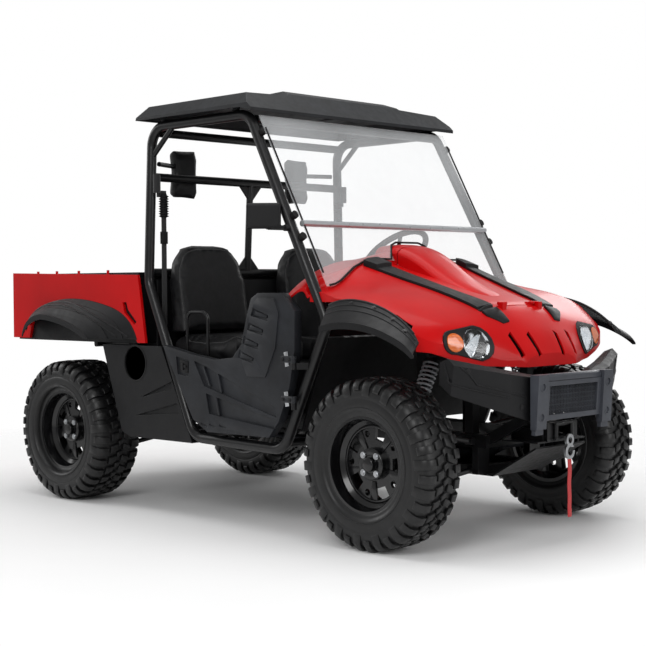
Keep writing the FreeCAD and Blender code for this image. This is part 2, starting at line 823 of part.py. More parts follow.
def lamp_outline(gap):
    """Long block whose front view is the almond round both lamps, wider by the gap."""
    main = LAMP_RADIUS + BEZEL_MARGIN + gap
    small = INDICATOR_RADIUS + BEZEL_MARGIN + gap
    outline = []
    for y, z, radius, start, sweep in (
        (LAMP_Y - 14, LAMP_Z, main, 262.0, -192.0),
        (INDICATOR_Y + 4, INDICATOR_Z, small, 80.0, -180.0),
    ):
        for k in range(9):
            angle = math.radians(start + sweep * k / 8)
            outline.append((y + radius * math.cos(angle), z + radius * math.sin(angle)))
    return prism_x(outline, 1060, 1420)


def lamp_bezels():
    """Almond housings that follow the front body and hold the two lamps of each side."""
    front = body_solid(-BEZEL_PROUD)
    back = body_solid(LAMP_DEPTH)
    bezel = lamp_outline(0.0).common(front).cut(back)
    bezel = sorted(bezel.Solids, key=lambda solid: -solid.Volume)[0]
    pockets = []
    for y, z, radius in ((LAMP_Y, LAMP_Z, LAMP_RADIUS), (INDICATOR_Y, INDICATOR_Z, INDICATOR_RADIUS)):
        pocket = cylinder((1060, y, z), (1420, y, z), radius + SEAT_GAP)
        pockets.append(pocket.cut(body_solid(LAMP_DEPTH - 20)))
    return grouped(both_sides(bezel.cut(pockets)))


def lamp_lenses():
    """Clear headlamp and indicator lenses, their faces following the body."""
    front = body_solid(-BEZEL_PROUD - LENS_PROUD)
    back = body_solid(10.0)
    lenses = []
    for y, z, radius in ((LAMP_Y, LAMP_Z, LAMP_RADIUS), (INDICATOR_Y, INDICATOR_Z, INDICATOR_RADIUS)):
        lens = cylinder((1060, y, z), (1420, y, z), radius).common(front).cut(back)
        lenses += both_sides(sorted(lens.Solids, key=lambda solid: -solid.Volume)[0])
    return grouped(lenses)


def arch_loft(attached, lip, y_in, y_out, drop):
    """Solid under a flare: from the attached line out to the lip line."""
    sections = []
    for y, outline in ((y_in, attached), (y_out, lip)):
        top = [vec(x, y, z - drop) for x, z in outline]
        curve = Part.BSplineCurve()
        curve.interpolate(top)
        low = 500.0
        first = vec(top[0].x, y, low)
        last = vec(top[-1].x, y, low)
        sections.append(
            Part.Wire(
                [
                    curve.toShape(),
                    Part.LineSegment(top[-1], last).toShape(),
                    Part.LineSegment(last, first).toShape(),
                    Part.LineSegment(first, top[0]).toShape(),
                ]
            )
        )
    return lofted(sections, True)


def blended(first, second, share):
    """Outline between two others with as many points."""
    return [
        (x0 + (x1 - x0) * share, z0 + (z1 - z0) * share)
        for (x0, z0), (x1, z1) in zip(first, second)
    ]


def stretched(outline, by):
    """The outline with its end points pushed out along x."""
    first = (outline[0][0] - by, outline[0][1])
    last = (outline[-1][0] + by, outline[-1][1])
    return [first] + outline[1:-1] + [last]


def flare(attached, lip, y_in, cut_low, steps):
    """Wheel arch flare: a sloped band, with an upright lip round its edge."""
    y_mid = FLARE_OUTER_Y - FLARE_WALL
    outer = arch_loft(attached, lip, y_in, y_mid, 0.0)
    rim = arch_loft(lip, lip, y_mid, FLARE_OUTER_Y, 0.0)
    mouth = stretched(lip, FLARE_END_CUT)
    inner = arch_loft(stretched(attached, FLARE_END_CUT), mouth, y_in - 2, y_mid, FLARE_WALL)
    opening = arch_loft(mouth, mouth, y_mid - 2, FLARE_OUTER_Y + 2, FLARE_LIP)
    ends = box(-2000, 2000, y_in - 10, FLARE_OUTER_Y + 10, 300, cut_low)
    bands = []
    for share, rise in steps:
        y = y_in + (y_mid - y_in) * share
        near = stretched(blended(attached, lip, share), FLARE_END_CUT / 2)
        far = stretched(lip, FLARE_END_CUT / 2)
        bands.append(arch_loft(near, far, y, y_mid - rise, -rise))
    shape = outer.multiFuse([rim] + bands).cut([inner, opening, ends])
    return sorted(shape.Solids, key=lambda solid: -solid.Volume)[0]


def front_flares():
    return grouped(both_sides(flare(FRONT_FLARE_TOP, FRONT_FLARE_LIP, FLARE_INNER_Y + 10, 745, [])))


def rear_flares():
    inner_y = BED_HALF_WIDTH + SEAT_GAP + SIDE_PANEL_WALL + SEAT_GAP
    return grouped(both_sides(flare(REAR_FLARE_TOP, REAR_FLARE_LIP, inner_y, 770, FLARE_STEPS)))


def front_bumper():
    """Moulded wings that sweep back to raised tips, and the bar that joins them."""
    inner = [(1366, 500), (1432, 478), (1434, 652), (1400, 664), (1366, 660)]
    middle = [(1330, 590), (1400, 520), (1404, 672), (1370, 690), (1330, 690)]
    tip = [(1236, 640), (1290, 600), (1306, 712), (1280, 736), (1240, 722)]
    sections = []
    for y, outline in ((BUMPER_WING_Y, inner), (330, middle), (545, tip)):
        points = [vec(x, y, z) for x, z in outline]
        sections.append(Part.makePolygon(points + points[:1]))
    wing = lofted(sections, True)
    bar = box(1386, 1430, -190, 190, 628, 660)
    return fused(both_sides(wing) + [bar])


def bumper_guard():
    """Two upright posts with the framed mesh between them."""
    post = prism_y([(1434.3, 462), (1462, 462), (FRONT_END, 668), (1434.3, 668)], 187, 251)
    holes = [cylinder((1400, 219, z), (1500, 219, z), 13.0) for z in (508.0, 622.0)]
    posts = both_sides(post.cut(holes))
    frame = prism_y([(1438, 492), (1452, 492), (1462, 640), (1438, 640)], -189, 189)
    window = box(1400, 1500, -160, 160, 512, 622)
    bars = []
    for k in range(1, MESH_COLUMNS):
        y = -160 + 320 * k / MESH_COLUMNS
        bars.append(box(1441, 1445, y - 1.5, y + 1.5, 508, 626))
    for k in range(1, MESH_ROWS):
        z = 512 + 110 * k / MESH_ROWS
        bars.append(box(1442, 1446, -164, 164, z - 1.5, z + 1.5))
    feet = both_sides(box(1434.3, 1452, 194, 244, 440, 466))
    return fused(posts + feet + [frame.cut(window)] + bars)


def winch():
    """Drum on its bed plate, with the roller fairlead in front."""
    plate_y = HORN_INNER_Y - SEAT_GAP
    plate = box(1230, 1400, -plate_y, plate_y, 398, 404)
    feet = [box(1240, 1390, s * 104 - 6, s * 104 + 6, 404, 450) for s in (-1, 1)]
    drum = cylinder((1315, -104, 446), (1315, 104, 446), 32.0)
    motor = cylinder((1315, 98, 446), (1315, 150, 446), 38.0)
    fair = box(1394, 1404, -100, 100, 400, 474).cut(box(1380, 1410, -60, 60, 418, 458))
    rollers = [cylinder((1410, y, 412), (1410, y, 468), 9.0) for y in (-52.0, 52.0)]
    plates = [box(1400, 1420, -66, 66, z, z + 5) for z in (408.0, 466.0)]
    cable = cylinder((1330, 0, 446), (1429.4, 0, 417), 4.0)
    return fused([plate, drum, motor, fair, cable] + feet + rollers + plates)


def winch_hook():
    """Open hook hanging in front of the fairlead."""
    x0 = 1430.7
    x1 = 1441.3
    ring = cylinder((x0, 0, 404), (x1, 0, 404), 24.0)
    eye = cylinder((x0 - 1, 0, 404), (x1 + 1, 0, 404), 13.0)
    bow = cylinder((x0, 0, 360), (x1, 0, 360), 30.0)
    throat = cylinder((x0 - 1, 0, 360), (x1 + 1, 0, 360), 17.0)
    gap = box(x0 - 1, x1 + 1, 8, 40, 362, 376)
    return fused([ring, bow]).cut([eye, throat, gap])


def winch_strap():
    """Flat pull strap under the hook."""
    radii = []
    edges = []
    points = [FreeCAD.Vector(*p) for p in STRAP_ROUTE]
    last = points[0]
    for index in range(1, len(points) - 1):
        corner = points[index]
        before = points[index - 1] - corner
        after = points[index + 1] - corner
        short = min(before.Length, after.Length)
        half = before.getAngle(after) / 2
        radius = 0.45 * short / math.tan(math.pi / 2 - half)
        radii.append(round(radius))
        reach = 0.45 * short
        before.normalize()
        after.normalize()
        start = corner + before * reach
        end = corner + after * reach
        middle_way = before + after
        middle_way.normalize()
        middle = corner + middle_way * (radius / math.sin(half) - radius)
        edges.append(Part.LineSegment(last, start).toShape())
        edges.append(Part.Arc(start, middle, end).toShape())
        last = end
    edges.append(Part.LineSegment(last, points[-1]).toShape())
    path = Part.Wire(edges)
    start = points[0]
    along = edges[0].tangentAt(edges[0].FirstParameter)
    across = along.cross(X_AXIS).normalize()
    deep = along.cross(across).normalize()
    a = across * (STRAP_WIDTH / 2)
    b = deep * (STRAP_THICKNESS / 2)
    ring = [start + a + b, start - a + b, start - a - b, start + a - b]
    profile = Part.makePolygon(ring + ring[:1])
    print("strap bend radii", radii, "length", round(path.Length, 1))
    return path.makePipeShell([profile], True, False)


def skid_plate():
    """Guard plate under the front subframe, turned up ahead of it."""
    top = LOWER_RAIL_BOTTOM - SEAT_GAP
    low = top - SKID_WALL
    rear = FRONT_AXLE_X - FRAME_FRONT_REACH
    bend = FRONT_AXLE_X + FRAME_FRONT_REACH
    tip = bend + SKID_RISE_LENGTH
    outline = [
        (rear, low),
        (bend, low),
        (tip, low + SKID_RISE),
        (tip - 4, low + SKID_RISE + SKID_WALL),
        (bend - 3, top),
        (rear, top),
    ]
    half = LOWER_RAIL_Y + LOWER_RAIL_SIZE / 2
    return prism_y(outline, -half, half)


def arm_pair(axle, low_y, low_z, high_z, spread, side_y):
    """Two legs from the frame to one ball joint."""
    end_y = side_y - 12
    legs = []
    for way in (-1, 1):
        legs.append(
            cylinder((axle + way * spread, low_y, low_z), (axle, end_y, high_z), ARM_TUBE_RADIUS)
        )
        legs.append(
            cylinder(
                (axle + way * (spread + 14), low_y, low_z), (axle + way * (spread - 22), low_y, low_z), 15.0
            )
        )
    return legs


def suspension(axle):
    """Double wishbones and dampers of one axle, with the upright left out."""
    shapes = []
    top = AXLE_Z + KINGPIN_HALF_HEIGHT
    bottom = AXLE_Z - KINGPIN_HALF_HEIGHT
    upper_y = RAIL_Y + RAIL_SIZE / 2 + 15 + SEAT_GAP
    lower_y = LOWER_RAIL_Y + LOWER_RAIL_SIZE / 2 + 15 + SEAT_GAP
    upper_end = top + JOINT_GAP + BALL_JOINT_HEIGHT / 2
    lower_end = bottom - JOINT_GAP - BALL_JOINT_HEIGHT / 2
    upper = arm_pair(axle, upper_y, RAIL_BOTTOM + RAIL_SIZE / 2, upper_end, 150, KINGPIN_Y)
    lower = arm_pair(axle, lower_y, LOWER_RAIL_BOTTOM + 15, lower_end, 130, KINGPIN_Y)
    upper.append(
        Part.makeCylinder(24, BALL_JOINT_HEIGHT, vec(axle, KINGPIN_Y, top + JOINT_GAP))
    )
    lower.append(
        Part.makeCylinder(
            24, BALL_JOINT_HEIGHT, vec(axle, KINGPIN_Y, bottom - JOINT_GAP - BALL_JOINT_HEIGHT)
        )
    )
    for way in (-1, 1):
        near = axle + way * (SHOCK_EYE_HALF_LENGTH + SEAT_GAP)
        far = near + way * 18
        upper.append(
            box(min(near, far), max(near, far), SHOCK_LOW_Y - 12, SHOCK_LOW_Y + 12, 434, SHOCK_LOW_Z + 12)
        )
    shapes += both_sides(fused(upper))
    shapes += both_sides(fused(lower))
    return shapes


def shock_line(axle, share):
    low = vec(axle, SHOCK_LOW_Y, SHOCK_LOW_Z)
    high = vec(axle, SHOCK_TOP_Y, SHOCK_TOP_Z)
    return low + (high - low) * share


def shocks(axle):
    """Dampers with their spring seats, from the lower wishbone up to the tower."""
    rod = cylinder(shock_line(axle, 0.02), shock_line(axle, 0.98), 11.0)
    can = cylinder(shock_line(axle, 0.12), shock_line(axle, 0.46), 19.0)
    low_seat = cylinder(shock_line(axle, 0.20), shock_line(axle, 0.22), 36.0)
    high_seat = cylinder(shock_line(axle, 0.90), shock_line(axle, 0.93), 36.0)
    eyes = []
    for share in (0.0, 1.0):
        eye = shock_line(axle, share)
        eyes.append(cylinder(eye - X_AXIS * SHOCK_EYE_HALF_LENGTH, eye + X_AXIS * SHOCK_EYE_HALF_LENGTH, 14.0))
    return both_sides(fused([rod, can, low_seat, high_seat] + eyes))


def coil_springs():
    """One coil round each damper."""
    springs = []
    for axle in (FRONT_AXLE_X, REAR_AXLE_X):
        low = shock_line(axle, 0.22)
        high = shock_line(axle, 0.90)
        along = high - low
        wire_radius = 5.0
        coils = 9
        edge = wire_radius * math.cos(math.radians(30)) + SEAT_GAP
        pitch = (along.Length - 2 * edge) / coils
        path = Part.Wire(Part.makeLongHelix(pitch, pitch * coils, 30.0))
        ring = []
        for k in range(6):
            angle = math.radians(60 * k)
            ring.append(vec(30 + wire_radius * math.cos(angle), 0, wire_radius * math.sin(angle)))
        coil = path.makePipeShell([Part.makePolygon(ring + ring[:1])], True, True)
        turn = FreeCAD.Rotation(Z_AXIS, along)
        coil.Placement = FreeCAD.Placement(low + along.normalize() * edge, turn)
        springs += both_sides(coil)
    return grouped(springs)


def knuckle():
    """Left-hand front upright with its steering arm."""
    top = AXLE_Z + KINGPIN_HALF_HEIGHT
    bottom = AXLE_Z - KINGPIN_HALF_HEIGHT
    post = cylinder((FRONT_AXLE_X, KINGPIN_Y, bottom), (FRONT_AXLE_X, KINGPIN_Y, top), KINGPIN_RADIUS)
    flange_y = WHEEL_Y - RIM_WIDTH / 2 + 6
    hub = cylinder((FRONT_AXLE_X, KINGPIN_Y - 8, AXLE_Z), (FRONT_AXLE_X, flange_y - JOINT_GAP, AXLE_Z), 42.0)
    arm = prism_z(
        [
            (FRONT_AXLE_X, KINGPIN_Y - 14),
            (FRONT_AXLE_X, KINGPIN_Y + 14),
            (FRONT_AXLE_X - RACK_OFFSET - 12, KINGPIN_Y - 2),
            (FRONT_AXLE_X - RACK_OFFSET - 12, KINGPIN_Y - 26),
        ],
        RACK_Z + RACK_RADIUS + JOINT_GAP,
        RACK_Z + RACK_RADIUS + JOINT_GAP + 14,
    )
    return fused([post, hub, arm])


def rear_carriers():
    """Fixed uprights of the rear axle."""
    top = AXLE_Z + KINGPIN_HALF_HEIGHT
    bottom = AXLE_Z - KINGPIN_HALF_HEIGHT
    post = cylinder((REAR_AXLE_X, KINGPIN_Y, bottom), (REAR_AXLE_X, KINGPIN_Y, top), KINGPIN_RADIUS)
    flange_y = WHEEL_Y - RIM_WIDTH / 2 + 6
    hub = cylinder((REAR_AXLE_X, KINGPIN_Y - 22, AXLE_Z), (REAR_AXLE_X, flange_y - JOINT_GAP, AXLE_Z), 42.0)
    return fused([post, hub])


def tyre(width):
    """Tyre at the origin, its axis along Y: lugs of each shoulder stagger round the tread."""
    half = width / 2
    groove = TYRE_RADIUS - LUG_DEPTH
    bead = [(RIM_SEAT_RADIUS + SEAT_GAP, RIM_WIDTH / 2 - 16), (RIM_LIP_RADIUS + 8, RIM_WIDTH / 2 - 11)]
    wall = (TYRE_RADIUS * 0.80, half)
    low = [(groove * 0.955, half - 9), (groove, half - 34), (groove, LUG_MIDDLE_GAP / 2)]
    high = [(TYRE_RADIUS * 0.945, half - 3), (TYRE_RADIUS, half - 34), (TYRE_RADIUS, LUG_MIDDLE_GAP / 2)]
    step = 2 * math.pi / TYRE_SIDES
    stretch = 1 / math.cos(step / 2)

    def ring_point(k, side, radius, y):
        angle = step * (k + 0.5)
        return vec(radius * stretch * math.sin(angle), side * y, radius * stretch * math.cos(angle))

    faces = []
    for k in range(TYRE_SIDES):
        for side in (-1, 1):
            lugged = (k % 2 == 0) == (side > 0)
            crown = high + [low[2]] if lugged else low
            band = bead + [wall] + crown
            for (r0, y0), (r1, y1) in zip(band, band[1:]):
                corners = [
                    ring_point(k, side, r0, y0),
                    ring_point(k, side, r1, y1),
                    ring_point(k + 1, side, r1, y1),
                    ring_point(k + 1, side, r0, y0),
                ]
                faces.append(polygon_face(corners))
            step_side = [wall] + high + low[::-1]
            faces.append(polygon_face([ring_point(k, side, r, y) for r, y in step_side]))
        for r, y in (low[2], bead[0]):
            corners = [
                ring_point(k, -1, r, y),
                ring_point(k, 1, r, y),
                ring_point(k + 1, 1, r, y),
                ring_point(k + 1, -1, r, y),
            ]
            faces.append(polygon_face(corners))
    shell = Part.makeShell(faces)
    shell.sewShape()
    solid = Part.makeSolid(shell)
    if solid.Volume < 0:
        solid.reverse()
    return solid


def rim():
    """Wheel with a deep stepped lip, windows, hub and brake disc. The outer face is at -Y."""
    half = RIM_WIDTH / 2
    seat = RIM_SEAT_RADIUS
    well = seat - 22
    outline = [
        (RIM_LIP_RADIUS, -half),
        (RIM_LIP_RADIUS, -half + 9),
        (seat, -half + 12),
        (seat, -half + 42),
        (well, -half + 56),
        (well, half - 40),
        (seat, half - 28),
        (seat, half - 12),
        (RIM_LIP_RADIUS, half - 9),
        (RIM_LIP_RADIUS, half),
        (seat - RIM_WALL, half),
        (seat - RIM_WALL, half - 26),
        (well - RIM_WALL, half - 44),
        (well - RIM_WALL, -half + 60),
        (seat - RIM_WALL - 4, -half + 46),
        (seat - RIM_WALL - 4, -half + 30),
        (seat - RIM_WALL + 4, -half),
    ]
    wire = Part.makePolygon([vec(r, y, 0) for r, y in outline + outline[:1]])
    barrel = Part.Face(wire).revolve(vec(0, 0, 0), Y_AXIS, 360)
    disc_y = -half + RIM_DISC_DEPTH
    disc = cylinder((0, disc_y, 0), (0, disc_y + RIM_DISC_WALL, 0), well - RIM_WALL + 1)
    hub = cylinder((0, disc_y - 22, 0), (0, disc_y + 4, 0), HUB_RADIUS)
    cap = cylinder((0, disc_y - 40, 0), (0, disc_y, 0), 27.0)
    inner_end = half - 6
    stub = cylinder((0, disc_y, 0), (0, inner_end, 0), HUB_BARREL_RADIUS)
    brake = cylinder((0, inner_end - BRAKE_DISC_WALL, 0), (0, inner_end, 0), BRAKE_DISC_RADIUS)
    shape = fused([barrel, disc, hub, cap, stub, brake])
    cuts = []
    turn = 360.0 / WHEEL_WINDOWS
    for k in range(WHEEL_WINDOWS):
        window = prism_y([(92, -26), (136, -36), (136, 36), (92, 26)], -half, disc_y + 30)
        window.rotate(vec(0, 0, 0), Y_AXIS, k * turn)
        cuts.append(window)
        hole = cylinder((118, -half, 0), (118, disc_y + 30, 0), 13.0)
        hole.rotate(vec(0, 0, 0), Y_AXIS, (k + 0.5) * turn)
        cuts.append(hole)
    return shape.cut(cuts)


def placed_wheel(shape, x, side):
    """Move a wheel piece to its axle end: side is -1 on the right and 1 on the left."""
    copy = shape.copy()
    if side > 0:
        copy = mirrored(copy)
    copy.translate(vec(x, side * WHEEL_Y, AXLE_Z))
    return copy


def drivetrain():
    """Front and rear gear cases, the shafts out to the wheels and the one between them."""
    shapes = []
    for axle in (FRONT_AXLE_X, REAR_AXLE_X):
        case = fused(
            [
                cylinder((axle, -118, AXLE_Z), (axle, 118, AXLE_Z), 30.0),
                cylinder((axle, -50, AXLE_Z), (axle, 50, AXLE_Z), GEAR_CASE_RADIUS),
            ]
        )
        inner_y = 118 + SEAT_GAP
        boot_y = KINGPIN_Y - 34
        end_y = KINGPIN_Y - 22 - SEAT_GAP
        shaft = cylinder((axle, inner_y, AXLE_Z), (axle, end_y, AXLE_Z), 13.0)
        boot_in = Part.makeCone(32, 20, 62, vec(axle, inner_y, AXLE_Z), Y_AXIS)
        boot_out = Part.makeCone(20, 34, 62, vec(axle, boot_y - 62, AXLE_Z), Y_AXIS)
        shapes.append(case)
        shapes += both_sides(fused([shaft, boot_in, boot_out]))
    drop = AXLE_Z - PROP_SHAFT_Z - PROP_SHAFT_RADIUS
    reach = WHEELBASE / 2 - math.sqrt(GEAR_CASE_RADIUS**2 - drop**2) - SEAT_GAP
    shapes.append(cylinder((-reach, 0, PROP_SHAFT_Z), (reach, 0, PROP_SHAFT_Z), PROP_SHAFT_RADIUS))
    return grouped(shapes)


def engine_block():
    return box(-830, -470, -150, 150, RAIL_TOP + SEAT_GAP, 690)


def muffler():
    can = cylinder((-1130, -95, 560), (-1130, 95, 560), 66.0)
    pipe = cylinder((-1130, 0, 560), (-1130, 0, 500), 20.0)
    tail = cylinder((-1130, 60, 560), (-1300, 60, 560), 18.0)
    post_face = RAIL_Y - POST_SIZE / 2 - SEAT_GAP
    hangers = both_sides(box(-1172, -1148, 90, post_face, 552, 568))
    return fused([can, pipe, tail] + hangers)


def floor_tub():
    """Floor, seat base, rear wall and footwell wall of the cab."""
    w = CAB_HALF_WIDTH
    floor = box(-380, 556, -w, w, FLOOR_Z, FLOOR_Z + FLOOR_WALL)
    toe = prism_y(
        [(546, FLOOR_Z), (556, FLOOR_Z), (622, 600), (704, 800), (694, 800), (612, 602)], -w, w
    )
    base_top = box(-380, 84, -w, w, SEAT_BASE_TOP - 10, SEAT_BASE_TOP)
    base_front = prism_y([(62, FLOOR_Z), (72, FLOOR_Z), (84, SEAT_BASE_TOP), (74, SEAT_BASE_TOP)], -w, w)
    sides = [box(-380, 70, s * (w - 4) - 4, s * (w - 4) + 4, FLOOR_Z, SEAT_BASE_TOP) for s in (-1, 1)]
    back = box(-384, -372, -w, w, FLOOR_Z, 1040)
    return fused([floor, toe, base_top, base_front, back] + sides).cut(column_hole())


def dashboard(cavity):
    profile = [
        (452, 806),
        (424, 850),
        (430, 1000),
        (470, 1078),
        (560, 1094),
        (640, 1020),
        (688, 806),
    ]
    body = prism_y(profile, -560, 560)
    shelf = box(400, 520, -470, -130, 860, 960)
    body = body.cut([shelf, column_hole()])
    allowed = fused([cavity, box(300, 497, -600, 600, 780, 1120)])
    return sorted(body.common(allowed).Solids, key=lambda solid: -solid.Volume)[0]


def steering_axis():
    return vec(-math.cos(STEERING_TILT), 0, math.sin(STEERING_TILT))


def steering_wheel():
    centre = vec(*STEERING_WHEEL_CENTRE)
    axis = steering_axis()
    rim_ring = Part.makeTorus(STEERING_WHEEL_RADIUS, STEERING_RIM_RADIUS, centre, axis)
    hub = Part.makeCylinder(34, 34, centre - axis * 30, axis)
    spokes = []
    across = vec(0, 1, 0)
    up = axis.cross(across)
    for angle in (90.0, 210.0, 330.0):
        way = up * math.cos(math.radians(angle)) + across * math.sin(math.radians(angle))
        end = centre + way * STEERING_WHEEL_RADIUS
        spokes.append(cylinder(centre - axis * 12, end, 9.0))
    return fused([rim_ring, hub] + spokes)


def column_joint():
    """Universal joint where the column meets the footwell wall."""
    return vec(*STEERING_WHEEL_CENTRE) - steering_axis() * 640


def steering_column():
    """Column, lower shaft and rack housing, with the bore in which the rack slides."""
    top = vec(*STEERING_WHEEL_CENTRE) - steering_axis() * (30 + JOINT_GAP)
    joint = column_joint()
    x = FRONT_AXLE_X - RACK_OFFSET
    pinion = vec(x, 70, RACK_Z + RACK_HOUSING_RADIUS - 4)
    upper = cylinder(top, joint, COLUMN_RADIUS)
    ball = Part.makeSphere(COLUMN_RADIUS + 2, joint)
    lower = cylinder(joint, pinion, 10.0)
    housing = cylinder((x, -110, RACK_Z), (x, 110, RACK_Z), RACK_HOUSING_RADIUS)
    low = LOWER_RAIL_BOTTOM + LOWER_RAIL_SIZE + SEAT_GAP
    bracket = box(x - 50, x, 60, 84, low, RACK_Z + 10)
    bore = cylinder((x, -120, RACK_Z), (x, 120, RACK_Z), RACK_RADIUS + RACK_FIT)
    return fused([upper, ball, lower, housing] + both_sides(bracket)).cut(bore)


def column_hole():
    top = vec(*STEERING_WHEEL_CENTRE)
    return cylinder(top, top - steering_axis() * 760, COLUMN_RADIUS + COLUMN_HOLE_GAP)


def door_pocket(outline, depth):
    """Recess in the outer face of the right-hand door."""
    return prism_y(outline, -DOOR_OUTER_Y - 4, -DOOR_OUTER_Y + depth)


def door():
    """Right-hand half door: moulded shell with a raised front, recesses and hinge barrels."""
    panel = prism_y(DOOR_OUTLINE, -DOOR_OUTER_Y, -DOOR_OUTER_Y + DOOR_WALL)
    raised_front = prism_y(DOOR_RAISED_FRONT, -DOOR_OUTER_Y - DOOR_RAISE, -DOOR_OUTER_Y + 2)
    pockets = []
    for k in range(4):
        x = 412 - 29 * k
        z = 896 - 58 * k
        slot = [(x - 42, z + 22), (x + 46, z - 6), (x + 42, z - 26), (x - 52, z - 8)]
        pockets.append(door_pocket(slot, DOOR_SLOT_DEPTH - DOOR_RAISE))
    pockets.append(door_pocket([(-132, 706), (-44, 694), (-48, 622), (-122, 630)], DOOR_SLOT_DEPTH))
    pockets.append(door_pocket([(-14, 692), (60, 672), (500, 520), (498, 480), (52, 586)], DOOR_BAND_DEPTH))
    pockets.append(door_pocket([(64, 556), (490, 470), (486, 432), (84, 470)], DOOR_BAND_DEPTH))
    barrels = []
    for level in DOOR_HINGE_LEVELS:
        barrels.append(
            Part.makeCylinder(
                DOOR_HINGE_RADIUS, DOOR_HINGE_HEIGHT, vec(DOOR_HINGE_X, -DOOR_HINGE_Y, level)
            )
        )
        barrels.append(
            box(
                DOOR_HINGE_X - 70,
                DOOR_HINGE_X,
                -DOOR_HINGE_Y - 4,
                -DOOR_OUTER_Y + 2,
                level,
                level + DOOR_HINGE_HEIGHT,
            )
        )
    return fused([panel.fuse(raised_front).cut(pockets)] + barrels)


def bed_tub():
    """Bed floor with its front wall, side walls and the moving halves of its hinges."""
    w = BED_HALF_WIDTH
    rear = BED_REAR + TAILGATE_WALL + 4
    floor = box(rear, BED_FRONT, -w, w, BED_FLOOR_Z, BED_FLOOR_Z + BED_FLOOR_WALL)
    front = box(BED_FRONT - BED_WALL, BED_FRONT, -w, w, BED_FLOOR_Z, BED_TOP_Z)
    side = box(rear, BED_FRONT, w - BED_WALL, w, BED_FLOOR_Z, BED_TOP_Z)
    y0 = BED_BOSS_Y + JOINT_GAP
    y1 = y0 + 26
    boss = cylinder((BED_HINGE_X, y0, BED_HINGE_Z), (BED_HINGE_X, y1, BED_HINGE_Z), BED_BOSS_RADIUS)
    lug = box(BED_HINGE_X - 14, BED_HINGE_X + 14, y0, y1, BED_HINGE_Z, BED_FLOOR_Z + 1)
    y0 = TAILGATE_BARREL_Y - 30
    y1 = TAILGATE_BARREL_Y
    barrel = cylinder(
        (TAILGATE_HINGE_X, y0, TAILGATE_HINGE_Z),
        (TAILGATE_HINGE_X, y1, TAILGATE_HINGE_Z),
        TAILGATE_BARREL_RADIUS,
    )
    leaf = box(TAILGATE_HINGE_X, rear + 1, y0, y1, TAILGATE_HINGE_Z - 6, TAILGATE_HINGE_Z + 6)
    pieces = [floor, front]
    for shape in (side, boss, lug, barrel, leaf):
        pieces += both_sides(shape)
    return fused(pieces)


def bed_side_panels():
    """Red outer panels of the bed, cut away over the wheels."""
    outline = [
        (BED_REAR, 760),
        (BED_REAR, BED_TOP_Z + 6),
        (-436, BED_TOP_Z - 12),
        (-424, 1000),
        (-384, 756),
        (-440, 756),
    ]
    arch = REAR_FLARE_TOP[1:-1]
    outline += [(x, z - 6) for x, z in reversed(arch)]
    outline += [(-1306, 760)]
    y0 = BED_HALF_WIDTH + SEAT_GAP
    panel = prism_y(outline, y0, y0 + SIDE_PANEL_WALL)
    slot = prism_y([(-548, 938), (-520, 938), (-506, 904), (-446, 850), (-462, 836), (-536, 892)], 600, 700)
    knobs = [cylinder((x, y0 + 2, BED_TOP_Z - 10), (x, y0 + 2, BED_TOP_Z + 12), 7.0) for x in BED_KNOBS]
    knobs = [knob.cut(box(-2000, 0, 600, y0, 900, 1200)) for knob in knobs]
    return grouped(both_sides(fused([panel.cut(slot)] + knobs)))


def tailgate():
    """Drop gate with its two hinge barrels."""
    x0 = BED_REAR
    w = TAILGATE_HALF_WIDTH
    panel = box(x0, x0 + TAILGATE_WALL, -w, w, TAILGATE_HINGE_Z + 22, BED_TOP_Z - 4)
    rib = box(x0 - 8, x0, -460, 460, 850, 1010)
    y0 = TAILGATE_BARREL_Y + JOINT_GAP
    y1 = y0 + 30
    barrel = cylinder(
        (TAILGATE_HINGE_X, y0, TAILGATE_HINGE_Z),
        (TAILGATE_HINGE_X, y1, TAILGATE_HINGE_Z),
        TAILGATE_BARREL_RADIUS,
    )
    leaf = box(x0, TAILGATE_HINGE_X + 6, y0, y1, TAILGATE_HINGE_Z, TAILGATE_HINGE_Z + 24)
    return fused([panel, rib] + both_sides(barrel) + both_sides(leaf))


def tail_lamps():
    """Lamps on the rear ends of the bed's side walls."""
    face = BED_REAR + TAILGATE_WALL + 4 - SEAT_GAP
    lamp = box(BED_REAR - 6, face, TAILGATE_HALF_WIDTH + 8, BED_HALF_WIDTH - 4, 850, 960)
    return grouped(both_sides(lamp))


def rear_side_panels():
    """Black lower panels between the cage and the rear wheels, with the intake's recess."""
    outline = [(-700, 744), (-270, 744), (-98, 404), (-62, 332), (-500, 330), (-560, 352)]
    panel = prism_y(outline, SIDE_PANEL_INNER_Y, SIDE_PANEL_OUTER_Y)
    intake = Part.makeCylinder(84, 60, vec(-457, SIDE_PANEL_OUTER_Y - 32, 664), Y_AXIS)
    wedges = [
        prism_y([(-420, 512), (-200, 592), (-196, 560)], SIDE_PANEL_OUTER_Y - 10, 700),
        prism_y([(-452, 430), (-160, 500), (-150, 454)], SIDE_PANEL_OUTER_Y - 10, 700),
    ]
    panel = panel.cut([intake] + wedges)
    wheel = cylinder((REAR_AXLE_X, 560, AXLE_Z), (REAR_AXLE_X, 700, AXLE_Z), TYRE_RADIUS + 40)
    hoop = cage_loop(CAGE_TUBE_RADIUS + WELD_GAP)
    pieces = panel.cut([wheel, mirrored(hoop)]).Solids
    return grouped(both_sides(sorted(pieces, key=lambda solid: -solid.Volume)[0]))


